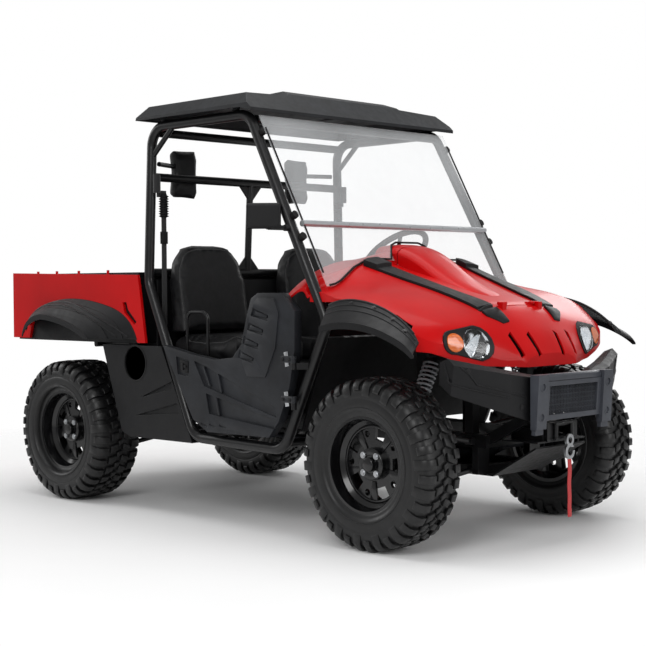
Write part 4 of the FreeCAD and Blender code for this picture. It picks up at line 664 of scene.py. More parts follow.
def bolt_tree():
    """Hexagon heads on washers, on the given points, each facing its own way."""
    tree, given, keys = new_tree(
        "bolt_heads",
        [
            ("Head radius", "NodeSocketFloat"),
            ("Head height", "NodeSocketFloat"),
            ("Finish", "NodeSocketMaterial"),
        ],
    )
    head = add(
        tree,
        "GeometryNodeMeshCylinder",
        {"Vertices": 6},
        {"Radius": given.outputs["Head radius"], "Depth": given.outputs["Head height"]},
    )
    wide = add(tree, "ShaderNodeMath", {1: 1.5}, {0: given.outputs["Head radius"]}, operation="MULTIPLY")
    thin = add(tree, "ShaderNodeMath", {1: 0.4}, {0: given.outputs["Head height"]}, operation="MULTIPLY")
    washer = add(
        tree,
        "GeometryNodeMeshCylinder",
        {"Vertices": 20},
        {"Radius": wide.outputs["Value"], "Depth": thin.outputs["Value"]},
    )
    both = add(tree, "GeometryNodeJoinGeometry")
    tree.links.new(head.outputs["Mesh"], both.inputs["Geometry"])
    tree.links.new(washer.outputs["Mesh"], both.inputs["Geometry"])
    facing = add(tree, "GeometryNodeInputNamedAttribute", {"Name": "facing"}, data_type="FLOAT_VECTOR")
    turn = add(
        tree, "FunctionNodeAlignRotationToVector", None, {"Vector": facing.outputs["Attribute"]}, axis="Z"
    )
    copies = add(
        tree,
        "GeometryNodeInstanceOnPoints",
        None,
        {
            "Points": given.outputs["Geometry"],
            "Instance": both.outputs["Geometry"],
            "Rotation": turn.outputs["Rotation"],
        },
    )
    end_tree(tree, given, copies.outputs["Instances"])
    return tree, keys


def grown(obj, made_tree, values):
    """Run a tree on an object with its inputs set, and keep the plain mesh."""
    tree, keys = made_tree
    modifier = obj.modifiers.new("repeat", "NODES")
    modifier.node_group = tree
    for label, value in values.items():
        modifier[keys[label]] = value
    return applied(obj)


def bolts(name, spots, key, body, radius=0.0075, height=0.006):
    """Bolt heads at (place, facing) pairs, as one piece."""
    mesh = bpy.data.meshes.new(name)
    mesh.from_pydata([place for place, facing in spots], [], [])
    facing_data = mesh.attributes.new("facing", "FLOAT_VECTOR", "POINT")
    facing_data.data.foreach_set("vector", [value for place, facing in spots for value in facing])
    obj = linked(name, mesh)
    grown(obj, bolt_tree(), {"Head radius": radius, "Head height": height, "Finish": FINISHES[key]})
    smoothed(obj.data, 35.0)
    return settled(obj, key, body)


def sided(spots):
    """The (place, facing) pairs with their mirror images."""
    return spots + [((x, -y, z), (a, -b, c)) for (x, y, z), (a, b, c) in spots]


# Stage


def place_camera():
    """Camera at the photograph's angle, distance and slight roll."""
    azimuth = math.radians(44.67)
    elevation = math.radians(1.55)
    roll = math.radians(-0.359)
    flat = math.cos(elevation)
    back = Vector((math.sin(azimuth) * flat, -math.cos(azimuth) * flat, math.sin(elevation)))
    right = Vector((math.cos(azimuth), math.sin(azimuth), 0.0))
    up = back.cross(right)
    level_right = right * math.cos(roll) + up * math.sin(roll)
    level_up = up * math.cos(roll) - right * math.sin(roll)
    turn = Matrix((level_right, level_up, back)).transposed().to_4x4()
    data = bpy.data.cameras.new("photo_camera")
    data.lens = 76.35
    data.sensor_width = 36.0
    camera = linked("photo_camera", data)
    camera.matrix_world = Matrix.Translation(Vector((0.096, 0.0, 0.838)) + back * 6.247) @ turn
    bpy.context.scene.camera = camera


def place_lights():
    lamps = [
        ("key", (3.5, -6.5, 4.6), 210.0, 3.2),
        ("front", (7.0, 1.0, 2.6), 110.0, 3.0),
        ("top", (0.0, 0.0, 5.5), 150.0, 4.5),
        ("rear", (-6.5, -2.5, 3.4), 90.0, 3.0),
        ("far", (-1.0, 6.5, 3.4), 90.0, 3.0),
    ]
    for name, spot, power, size in lamps:
        data = bpy.data.lights.new(name, "AREA")
        data.energy = power
        data.size = size
        lamp = linked(name, data)
        lamp.location = spot
        lamp.rotation_euler = (Vector(spot) - Vector((0.0, 0.0, 0.8))).to_track_quat("Z", "Y").to_euler()


def place_floor():
    """Pale floor that melts into the white room a few metres out, and keeps the shadow."""
    form = Form()
    reach = 40.0
    form.put(
        [(-reach, -reach, 0.0), (reach, -reach, 0.0), (reach, reach, 0.0), (-reach, reach, 0.0)],
        [(0, 1, 2, 3)],
    )
    mesh = bpy.data.meshes.new("floor")
    mesh.from_pydata(form.corners, [], form.faces)
    floor = linked("floor", mesh)
    material, tree, shader, place = new_finish("pale_floor")
    two_tone(tree, shader, place, 1.5, "#F6F6F6", "#FAFAFA")
    shader.inputs["Roughness"].default_value = 0.7
    shader.inputs["Specular IOR Level"].default_value = 0.1
    far = add(tree, "ShaderNodeVectorMath", None, {0: place}, operation="LENGTH")
    fade = add(
        tree, "ShaderNodeMapRange", {"From Min": 2.2, "From Max": 4.2}, {"Value": far.outputs["Value"]}
    )
    clear = add(tree, "ShaderNodeBsdfTransparent")
    mixed = add(
        tree,
        "ShaderNodeMixShader",
        None,
        {0: fade.outputs["Result"], 1: shader.outputs["BSDF"], 2: clear.outputs["BSDF"]},
    )
    tree.links.new(mixed.outputs["Shader"], tree.nodes["Material Output"].inputs["Surface"])
    floor.data.materials.append(material)


def place_world():
    """White to the camera and through clear sheet, and a plain level for the rest."""
    world = bpy.data.worlds.new("studio")
    world.use_nodes = True
    tree = world.node_tree
    background = tree.nodes["Background"]
    path = add(tree, "ShaderNodeLightPath")
    seen = add(
        tree,
        "ShaderNodeMath",
        None,
        {0: path.outputs["Is Camera Ray"], 1: path.outputs["Is Transmission Ray"]},
        operation="MAXIMUM",
    )
    power = add(
        tree, "ShaderNodeMapRange", {"To Min": 0.42, "To Max": 1.0}, {"Value": seen.outputs["Value"]}
    )
    tree.links.new(power.outputs["Result"], background.inputs["Strength"])
    background.inputs["Color"].default_value = (1.0, 1.0, 1.0, 1.0)
    bpy.context.scene.world = world
    bpy.context.scene.view_settings.view_transform = "Standard"


# Strap


def make_strap():
    """Red webbing that hangs from the hook, along its route, flat across the vehicle."""
    data = bpy.data.curves.new("strap_route", "CURVE")
    data.dimensions = "3D"
    line = data.splines.new("NURBS")
    line.points.add(len(STRAP_ROUTE) - 1)
    for point, spot in zip(line.points, STRAP_ROUTE):
        point.co = (*spot, 1.0)
    line.order_u = 3
    line.use_endpoint_u = True
    line.resolution_u = 6
    route = linked("strap_route", data)
    graph = bpy.context.evaluated_depsgraph_get()
    drawn = bpy.data.meshes.new_from_object(route.evaluated_get(graph), depsgraph=graph)
    path = [vertex.co.copy() for vertex in drawn.vertices]
    bpy.data.meshes.remove(drawn)
    bpy.data.objects.remove(route)
    form = Form()
    half = STRAP_WIDTH / 2
    thin = STRAP_THICKNESS / 2
    rings = []
    for spot in path:
        rings.append([
            spot + Vector((thin, -half + 0.001, 0)), spot + Vector((thin, half - 0.001, 0)),
            spot + Vector((0, half, 0)), spot + Vector((-thin, half - 0.001, 0)),
            spot + Vector((-thin, -half + 0.001, 0)), spot + Vector((0, -half, 0)),
        ])
    rings_joined(form, rings)
    strap = piece(form, "pull_strap", "strap", "root", ("winch_strap",))
    hem = Form()
    end = STRAP_ROUTE[-1]
    hem.put(
        [(end[0] + x, end[1] + y, end[2] + z) for x in (-0.0021, 0.0021) for y in (-0.0115, 0.0115)
         for z in (0.002, 0.03)],
        [(0, 1, 3, 2), (4, 6, 7, 5), (0, 4, 5, 1), (2, 3, 7, 6), (0, 2, 6, 4), (1, 5, 7, 3)],
    )
    tail = piece(hem, "pull_strap_hem", "strap", "root", bevel=0.0008)


# Wheels


def tyre_profile(half):
    """(radius, y) of the carcass, from the outer bead over the crown to the inner one."""
    outer = [
        (0.1800, 0.088), (0.1870, 0.094), (0.1960, 0.097), (0.2010, 0.0975), (0.2050, half * 0.94),
        (0.2130, half * 0.985), (0.2180, half * 0.990), (0.2200, half * 0.965), (0.2260, half * 0.970),
        (0.2480, half * 0.992), (0.2520, half * 0.975), (0.2560, half * 0.990), (0.2760, half * 0.965),
        (0.2960, half * 0.91), (0.3090, half * 0.82), (0.3150, half * 0.66), (0.3180, half * 0.35),
    ]
    inner = [(radius, -y) for radius, y in reversed(outer)]
    lining = [(0.1750, -0.078), (0.1720, 0.0), (0.1750, 0.078)]
    return outer + inner + lining


def tread_pitch(half):
    """The blocks of one pitch: long and short shoulder blocks, and the staggered middle ones."""
    form = Form()
    turn = 2 * math.pi / TREAD_PITCHES
    for step, reach in ((0, 0.262), (1, 0.284)):
        for side in (1, -1):
            lean = (step + (0.0 if side > 0 else 0.5)) * turn / 2
            outline = [
                (half * 0.50, 0.314), (half * 0.50, 0.3285), (half * 0.76, 0.3265), (half * 0.90, 0.3150),
                (half * 0.985, 0.2980), (half * 0.997, reach + 0.008), (half * 0.985, reach),
                (half * 0.90, reach + 0.002), (half * 0.86, 0.295),
            ]
            width = 0.036 if step == 0 else 0.030
            block = Form()
            slab(block, [(-width / 2, y * side, z) for y, z in outline], (width, 0.0, 0.0))
            spin = Matrix.Rotation(lean, 3, "Y")
            form.put([spin @ corner for corner in block.corners], block.faces)
    for row, share, width in ((0, 0.27, 0.034), (1, 0.27, 0.034), (0, -0.27, 0.034), (1, -0.27, 0.034),
                              (0.5, 0.0, 0.026), (1.5, 0.0, 0.026)):
        wide = half * (0.155 if share else 0.10)
        y = half * share
        skew = 0.006 if share > 0 else -0.006
        top = 0.3295
        low = 0.314
        block = Form()
        block.put(
            [
                (-width / 2 - skew, y - wide, low), (width / 2 - skew, y - wide, low),
                (width / 2 + skew, y + wide, low), (-width / 2 + skew, y + wide, low),
                (-width / 2 - skew + 0.002, y - wide + 0.002, top),
                (width / 2 - skew - 0.002, y - wide + 0.002, top),
                (width / 2 + skew - 0.002, y + wide - 0.002, top),
                (-width / 2 + skew + 0.002, y + wide - 0.002, top),
            ],
            [(0, 3, 2, 1), (4, 5, 6, 7), (0, 1, 5, 4), (1, 2, 6, 5), (2, 3, 7, 6), (3, 0, 4, 7)],
        )
        spin = Matrix.Rotation((row + 0.25) * turn / 2, 3, "Y")
        form.put([spin @ corner for corner in block.corners], block.faces)
    return form


def make_tyre(wheel):
    low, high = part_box("tyre_" + wheel)
    half = (high[1] - low[1]) / 2
    centre = Vector(((low[0] + high[0]) / 2, (low[1] + high[1]) / 2, TYRE_RADIUS))
    body = "wheel_" + wheel
    form = Form()
    lathe(form, tyre_profile(half), centre, AXIS_Y, CARCASS_FACETS)
    last = len(form.corners) - CARCASS_FACETS
    form.faces = form.faces[:-2] + [
        (last + j, last + (j + 1) % CARCASS_FACETS, (j + 1) % CARCASS_FACETS, j) for j in range(CARCASS_FACETS)
    ]
    piece(form, "carcass_" + wheel, "tyre", body, ("tyre_" + wheel,), sharp=50.0)
    tread = piece(tread_pitch(half), "tread_" + wheel, "tyre", body, bevel=0.0018)
    grown(tread, round_repeat_tree(), {"Count": TREAD_PITCHES, "Finish": FINISHES["tyre"]})
    tread.data.transform(Matrix.Translation(centre))
    smoothed(tread.data, 40.0)
    settled(tread, "tyre", body)


def make_wheel_details(wheel):
    """Nuts, centre cap, valve and raised rings on the outer face."""
    low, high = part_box("rim_" + wheel)
    side = 1.0 if high[1] > 0 else -1.0
    centre = Vector(((low[0] + high[0]) / 2, 0.0, TYRE_RADIUS))
    body = "wheel_" + wheel
    outward = AXIS_Y * side
    face = centre + outward * 0.616
    form = Form()
    ring_profile = [(0.150, -0.002), (0.150, 0.004), (0.146, 0.0065), (0.139, 0.0065), (0.136, -0.002)]
    lathe(form, ring_profile, face, outward, RING_FACETS)
    last = len(form.corners) - RING_FACETS
    form.faces = form.faces[:-2] + [
        (last + j, last + (j + 1) % RING_FACETS, (j + 1) % RING_FACETS, j) for j in range(RING_FACETS)
    ]
    for k in range(5):
        spoke = Form()
        outline = [(-0.008, 0, 0.066), (0.008, 0, 0.066), (0.019, 0, 0.137), (-0.019, 0, 0.137)]
        slab(spoke, outline, outward * 0.005)
        spin = Matrix.Rotation(math.radians(72 * k + 36), 3, "Y")
        form.put([spin @ corner + face for corner in spoke.corners], spoke.faces)
    hub = centre + outward * 0.638
    hub_profile = [(0.0615, -0.020), (0.0615, -0.001), (0.058, 0.0022), (0.036, 0.0022), (0.034, -0.001)]
    lathe(form, hub_profile, hub, outward, 48)
    cap = centre + outward * 0.656
    cap_profile = [(0.0272, -0.012), (0.0272, -0.002), (0.024, 0.0015), (0.010, 0.0030), (0.0, 0.0032)]
    lathe(form, cap_profile, cap, outward, 36)
    piece(form, "face_" + wheel, "rim", body, bevel=0.0012)
    spots = []
    for k in range(4):
        angle = math.radians(90 * k + 45)
        spot = hub + Vector((math.cos(angle), 0, math.sin(angle))) * 0.047 + outward * 0.005
        spots.append((tuple(spot), tuple(outward)))
    bolts("nuts_" + wheel, spots, "zinc", body, 0.0085, 0.014)
    valve = Form()
    lathe(valve, [(0.0042, 0), (0.0042, 0.010), (0.0034, 0.011), (0.0034, 0.026), (0.0, 0.0262)],
          centre + outward * 0.640 + Vector((0.128, 0.0, 0.100)), outward, 14)
    piece(valve, "valve_" + wheel, "rubber", body)


# Seats


SEAT_MIDDLE_Y = -0.330
BACK_PIPING = [
    (0.830, -0.186), (0.975, -0.188), (1.060, -0.184), (1.120, -0.164), (1.162, -0.126), (1.176, -0.060),
    (1.176, 0.060), (1.162, 0.126), (1.120, 0.164), (1.060, 0.184), (0.975, 0.188), (0.830, 0.186),
]


def smooth_line_flat(points):
    """Smooth line through pairs of numbers."""
    return [(point.x, point.y) for point in smooth_line([(u, v, 0.0) for u, v in points], 6)]


def node_solids(node):
    """The node's solids, each a form of its own, merged where their facets share corners."""
    work = bmesh.new()
    work.from_mesh(NODES[node].data)
    bmesh.ops.remove_doubles(work, verts=work.verts, dist=1e-6)
    left = set(work.faces)
    solids = []
    while left:
        island = [left.pop()]
        for face in island:
            for edge in face.edges:
                for other in edge.link_faces:
                    if other in left:
                        left.remove(other)
                        island.append(other)
        form = Form()
        corners = list({vertex for face in island for vertex in face.verts})
        place = {vertex: index for index, vertex in enumerate(corners)}
        form.put(
            [vertex.co.copy() for vertex in corners],
            [[place[vertex] for vertex in face.verts] for face in island],
        )
        solids.append(form)
    work.free()
    return solids


def shrunk(form, by):
    """The form drawn in towards the middle of its box by a distance on every side."""
    low = Vector([min(c[i] for c in form.corners) for i in range(3)])
    high = Vector([max(c[i] for c in form.corners) for i in range(3)])
    middle = (low + high) / 2
    scale = [max(1.0 - 2 * by / (high[i] - low[i]), 0.3) for i in range(3)]
    form.corners = [
        middle + Vector([(c[i] - middle[i]) * scale[i] for i in range(3)]) for c in form.corners
    ]
    return form


def swollen(form, name, cap, box):
    """Foam pad: the form remeshed, swelled by cloth under pressure and kept inside its box."""
    mesh = bpy.data.meshes.new(name)
    mesh.from_pydata(form.corners, [], form.faces)
    pad = linked(name, mesh)
    remesh = pad.modifiers.new("even_mesh", "REMESH")
    remesh.mode = "VOXEL"
    remesh.voxel_size = PAD_VOXEL
    applied(pad)
    rest = [vertex.co.copy() for vertex in pad.data.vertices]
    cloth = pad.modifiers.new("swelling", "CLOTH")
    cloth.settings.use_pressure = True
    cloth.settings.uniform_pressure_force = 4.0
    cloth.settings.effector_weights.gravity = 0.0
    cloth.settings.quality = 5
    cloth.point_cache.frame_start = 1
    cloth.point_cache.frame_end = PAD_FRAMES
    for step in range(1, PAD_FRAMES + 1):
        bpy.context.scene.frame_set(step)
    applied(pad)
    bpy.context.scene.frame_set(1)
    low, high = box
    for vertex, start in zip(pad.data.vertices, rest):
        shift = vertex.co - start
        if shift.length > cap:
            shift *= cap / shift.length
        vertex.co = start + shift
        for i in range(3):
            vertex.co[i] = min(max(vertex.co[i], low[i]), high[i])
    smooth = pad.modifiers.new("soft", "SMOOTH")
    smooth.factor = 0.5
    smooth.iterations = 16
    finer = pad.modifiers.new("finer", "SUBSURF")
    finer.levels = 1
    applied(pad)
    smoothed(pad.data, 180.0)
    return pad


def other_side(obj, name):
    """The same piece mirrored to the other side of the vehicle."""
    mesh = obj.data.copy()
    mesh.transform(Matrix.Scale(-1.0, 4, AXIS_Y))
    mesh.flip_normals()
    return linked(name, mesh)


def make_seat_pads():
    """Swollen cushions, backs and headrests, simulated once and mirrored, with piping and the headrests' arms.
    """
    forms = [form for form in node_solids("seats") if sum(c.y for c in form.corners) < 0]
    forms.sort(key=lambda form: max(c.z for c in form.corners))
    pads = {}
    for label, form, cap in (("cushion", forms[0], 0.014), ("back", forms[1], 0.010)):
        low = [min(c[i] for c in form.corners) for i in range(3)]
        high = [max(c[i] for c in form.corners) for i in range(3)]
        if label == "cushion":
            high[2] += CROWN
        pad = swollen(shrunk(form, 0.009), "seat_%s_right" % label, cap, (low, high))
        pads[label] = pad
        for obj in (pad, other_side(pad, "seat_%s_left" % label)):
            settled(obj, "vinyl", "root", ("seats",))
    piping = Form()
    back_line = []
    for z, y in smooth_line_flat(BACK_PIPING):
        spot, normal = seat_on(pads["back"], (0.4, SEAT_MIDDLE_Y + y, z), -AXIS_X)
        if spot is not None:
            back_line.append(spot)
    tube(piping, back_line, 0.0032, 8)
    top_line = []
    for k in range(48):
        angle = 2 * math.pi * k / 48
        x = -0.110 + 0.196 * abs(math.cos(angle)) ** 0.4 * math.copysign(1, math.cos(angle))
        y = SEAT_MIDDLE_Y + 0.190 * abs(math.sin(angle)) ** 0.4 * math.copysign(1, math.sin(angle))
        spot, normal = seat_on(pads["cushion"], (x, y, 1.2), -AXIS_Z)
        if spot is not None:
            top_line.append(spot)
    tube(piping, top_line, 0.003, 8, closed=True)
    piping.mirror()
    piece(piping, "seat_piping", "belt", "root")
    pad_form = Form()
    side_slab(
        pad_form,
        [(-0.470, 1.43), (-0.470, 1.625), (-0.440, 1.640), (-0.428, 1.60), (-0.428, 1.44), (-0.445, 1.413)],
        -0.432,
        -0.296,
    )
    pad = swollen(pad_form, "headrest_right", 0.008, ((-0.478, -0.440, 1.405), (-0.420, -0.288, 1.648)))
    for obj in (pad, other_side(pad, "headrest_left")):
        settled(obj, "vinyl", "root", ("headrests",))
    arms = Form()
    tube(arms, [(-0.449, -0.415, 1.56), (-0.430, -0.455, 1.56), (-0.388, -0.556, 1.56)], 0.0105, 14)
    tube(arms, [(-0.449, -0.40, 1.49), (-0.449, -0.40, 1.60)], 0.012, 14)
    arms.mirror()
    piece(arms, "headrest_arms", "tube", "root")


# Lamps


def make_lamps():
    """Clear and amber lenses in their housings, with a bright bowl and bulb behind the clear one."""
    clear = Form()
    amber = Form()
    for form in node_solids("lamp_lenses"):
        middle = sum(abs(corner.y) for corner in form.corners) / len(form.corners)
        target = clear if middle < 0.42 else amber
        target.put(form.corners, form.faces)
    piece(clear, "headlamp_lens", "lens", "root", ("lamp_lenses",))
    piece(amber, "indicator_lens", "amber", "root", ("lamp_lenses",))
    bowls = Form()
    bulbs = Form()
    for y, z, radius, depth in ((-0.368, 0.786, 0.053, 0.034), (-0.464, 0.792, 0.030, 0.018)):
        rim_x = 1.246 if radius > 0.04 else 1.205
        spot = Vector((rim_x - depth, y, z))
        lathe(
            bowls,
            [(radius, depth), (radius * 0.94, depth * 0.62), (radius * 0.72, depth * 0.25),
             (radius * 0.3, 0.0),
             (0.0, -0.001), (0.0, -0.004), (radius * 0.34, -0.003), (radius * 0.76, depth * 0.2),
             (radius * 0.99, depth * 0.6)],
            spot,
            AXIS_X,
            40,
        )
        lathe(bulbs, [(0.008, -0.004), (0.008, 0.010), (0.0055, 0.018), (0.0, 0.020)], spot, AXIS_X, 18)
        lathe(
            bulbs,
            [(radius * 0.30, depth * 0.75), (radius * 0.30, depth * 0.82), (radius * 0.24, depth * 0.82),
             (radius * 0.24, depth * 0.75)],
            spot,
            AXIS_X,
            28,
        )
    bowls.mirror()
    bulbs.mirror()
    piece(bowls, "lamp_bowls", "reflector", "root", sharp=60.0)
    piece(bulbs, "lamp_bulbs", "zinc", "root", sharp=60.0)


# Seating small pieces on the frame


SURFACES = {}


def seat_on(node, start, way, default=None):
    """Where a line from the start meets the node, and the outward direction there."""
    if node not in SURFACES:
        mesh = NODES[node].data if isinstance(node, str) else node.data
        SURFACES[node] = BVHTree.FromPolygons(
            [vertex.co.copy() for vertex in mesh.vertices], [tuple(face.vertices) for face in mesh.polygons]
        )
    spot, normal, index, distance = SURFACES[node].ray_cast(Vector(start), Vector(way).normalized())
    if spot is None:
        return (Vector(default) if default else None), None
    if normal.dot(Vector(way)) > 0:
        normal = -normal
    return spot, normal


def ridge_line(node, points, way, radius, form, sides=8, sink=0.3):
    """Low rib along points dropped onto the node's surface."""
    line = []
    for point in smooth_line(points, 5):
        spot, normal = seat_on(node, point, way)
        if spot is not None:
            line.append(spot - normal * radius * sink)
    if len(line) > 2:
        tube(form, line, radius, sides)


def blended_line(first, second, share):
    """Line between two side outlines of (x, z) pairs, at the share from the first."""
    return [(a[0] + (b[0] - a[0]) * share, a[1] + (b[1] - a[1]) * share) for a, b in zip(first, second)]


def carved(node, name, cutters, key, body, bevel):
    """Copy of a node's shape with recesses cut into it and its edges rounded."""
    form = Form()
    for solid in node_solids(node):
        size = [max(c[i] for c in solid.corners) - min(c[i] for c in solid.corners) for i in range(3)]
        if min(size) > 0.008:
            form.put(solid.corners, solid.faces)
    obj = piece(form, name, key, body, (node,), sharp=40.0)
    mesh = bpy.data.meshes.new(name + "_cutter")
    mesh.from_pydata(cutters.corners, [], cutters.faces)
    work = bmesh.new()
    work.from_mesh(mesh)
    bmesh.ops.recalc_face_normals(work, faces=work.faces)
    work.to_mesh(mesh)
    work.free()
    tool = linked(name + "_cutter", mesh)
    cut = obj.modifiers.new("recesses", "BOOLEAN")
    cut.operation = "DIFFERENCE"
    cut.solver = "EXACT"
    cut.object = tool
    edge = obj.modifiers.new("rounded_edges", "BEVEL")
    edge.width = bevel
    edge.segments = 2
    edge.limit_method = "ANGLE"
    edge.angle_limit = math.radians(50.0)
    applied(obj)
    bpy.data.objects.remove(tool)
    smoothed(obj.data, 40.0)
    put_finish(obj, key)
    return obj


# Doors


def door_slots():
    """The four slanted slots of a door's raised front, as (x, z) outlines."""
    outlines = []
    for k in range(4):
        x = 0.412 - 0.029 * k
        z = 0.896 - 0.058 * k
        outlines.append(
            [(x - 0.042, z + 0.022), (x + 0.046, z - 0.006), (x + 0.042, z - 0.026), (x - 0.052, z - 0.008)]
        )
    return outlines


def make_doors():
    """Door shells with their slots, ribs, latch, stiffening dashes and hinge plates."""
    for side in SIDES:
        s = -1.0 if side == "right" else 1.0
        body = "door_" + side
        cutters = Form()
        for outline in door_slots():
            middle = (sum(x for x, z in outline) / 4, sum(z for x, z in outline) / 4)
            wide = [
                (middle[0] + (x - middle[0]) * 1.06, middle[1] + (z - middle[1]) * 1.12) for x, z in outline
            ]
            side_slab(cutters, wide, s * 0.6725, s * 0.700)
        for x in (0.030, 0.085, 0.150):
            outline = [(x, 0.430), (x + 0.040, 0.421), (x + 0.040, 0.415), (x, 0.421)]
            side_slab(cutters, outline, s * 0.672, s * 0.700)
        carved("door_" + side, "door_shell_" + side, cutters, "charcoal", body, 0.0016)
        ribs = Form()
        for outline in (
            [(0.040, 0.668), (0.050, 0.667), (0.092, 0.585), (0.082, 0.588)],
            [(0.130, 0.652), (0.140, 0.648), (0.166, 0.562), (0.156, 0.565)],
            [(0.120, 0.548), (0.130, 0.546), (0.150, 0.466), (0.140, 0.467)],
        ):
            side_slab(ribs, outline, s * 0.660, s * 0.6745)
        for outline in door_slots():
            middle = (sum(x for x, z in outline) / 4, sum(z for x, z in outline) / 4)
            small = [
                (middle[0] + (x - middle[0]) * 0.80, middle[1] + (z - middle[1]) * 0.60) for x, z in outline
            ]
            side_slab(ribs, small, s * 0.670, s * 0.6775)
        piece(ribs, "door_ribs_" + side, "charcoal", body, bevel=0.0012)
        latch = Form()
        for outline, y0, y1 in (
            ([(-0.118, 0.692), (-0.058, 0.686), (-0.060, 0.636), (-0.112, 0.640)], 0.6665, 0.6705),
            ([(-0.100, 0.680), (-0.086, 0.679), (-0.086, 0.648), (-0.100, 0.650)], 0.6700, 0.6760),
            ([(-0.084, 0.670), (-0.066, 0.668), (-0.066, 0.658), (-0.084, 0.660)], 0.6700, 0.6750),
        ):
            side_slab(latch, outline, s * y0, s * y1)
        piece(latch, "door_latch_" + side, "black", body, bevel=0.0012)
        plates = Form()
        for level in (0.545, 0.704):
            side_slab(
                plates,
                [
                    (0.545, level + 0.040),
                    (0.566, level + 0.044),
                    (0.574, level - 0.014),
                    (0.553, level - 0.018),
                ],
                s * 0.6755,
                s * 0.6785,
            )
        piece(plates, "hinge_plates_" + side, "zinc", body, bevel=0.0006)
        spots = []
        for level in (0.558, 0.717):
            for x in (0.552, 0.590):
                spots.append(((x, s * 0.6935, level), (0.0, s, 0.0)))
        bolts("hinge_bolts_" + side, spots, "tube", body, 0.0055, 0.005)


# Flares


def make_flare_details():
    """Ridges and moulded lines of the four flares, and fixing bolts of the front two."""
    ridges = Form()
    way = Vector((0.0, 1.0, -0.8)).normalized()
    for share, radius in ((0.10, 0.0055), (0.30, 0.0045), (0.52, 0.004)):
        line = blended_line(FRONT_FLARE_TOP, FRONT_FLARE_LIP, share)
        points = [Vector((x, -0.64 - 0.09 * share, z)) - way * 0.16 for x, z in line]
        ridge_line("front_flares", points, way, radius, ridges)
    ridges.mirror()
    piece(ridges, "front_flare_ridges", "black", "root")
    ridges = Form()
    top = [(-1.306, 0.800), (-1.230, 0.905), (-1.120, 0.948), (-1.000, 0.954), (-0.880, 0.930),
           (-0.740, 0.880),
           (-0.600, 0.830), (-0.470, 0.785)]
    low = [(-1.240, 0.765), (-1.196, 0.842), (-1.110, 0.878), (-1.010, 0.876), (-0.917, 0.860),
           (-0.820, 0.834),
           (-0.745, 0.802), (-0.694, 0.775)]
    for share, radius in ((0.10, 0.005), (0.36, 0.0045)):
        points = [Vector((x, -0.66 - 0.06 * share, z)) - way * 0.16 for x, z in blended_line(top, low, share)]
        ridge_line("rear_flares", points, way, radius, ridges)
    ridges.mirror()
    piece(ridges, "rear_flare_ridges", "black", "bed")
    spots = []
    for x, z in ((0.905, 0.945), (1.020, 0.930), (1.120, 0.885), (1.185, 0.835)):
        spot, normal = seat_on("front_flares", Vector((x, -0.672, z)) - way * 0.16, way)
        if spot is not None:
            spots.append((tuple(spot + normal * 0.002), tuple(normal)))
    bolts("front_flare_bolts", sided(spots), "tube", "root", 0.006, 0.006)


# Front


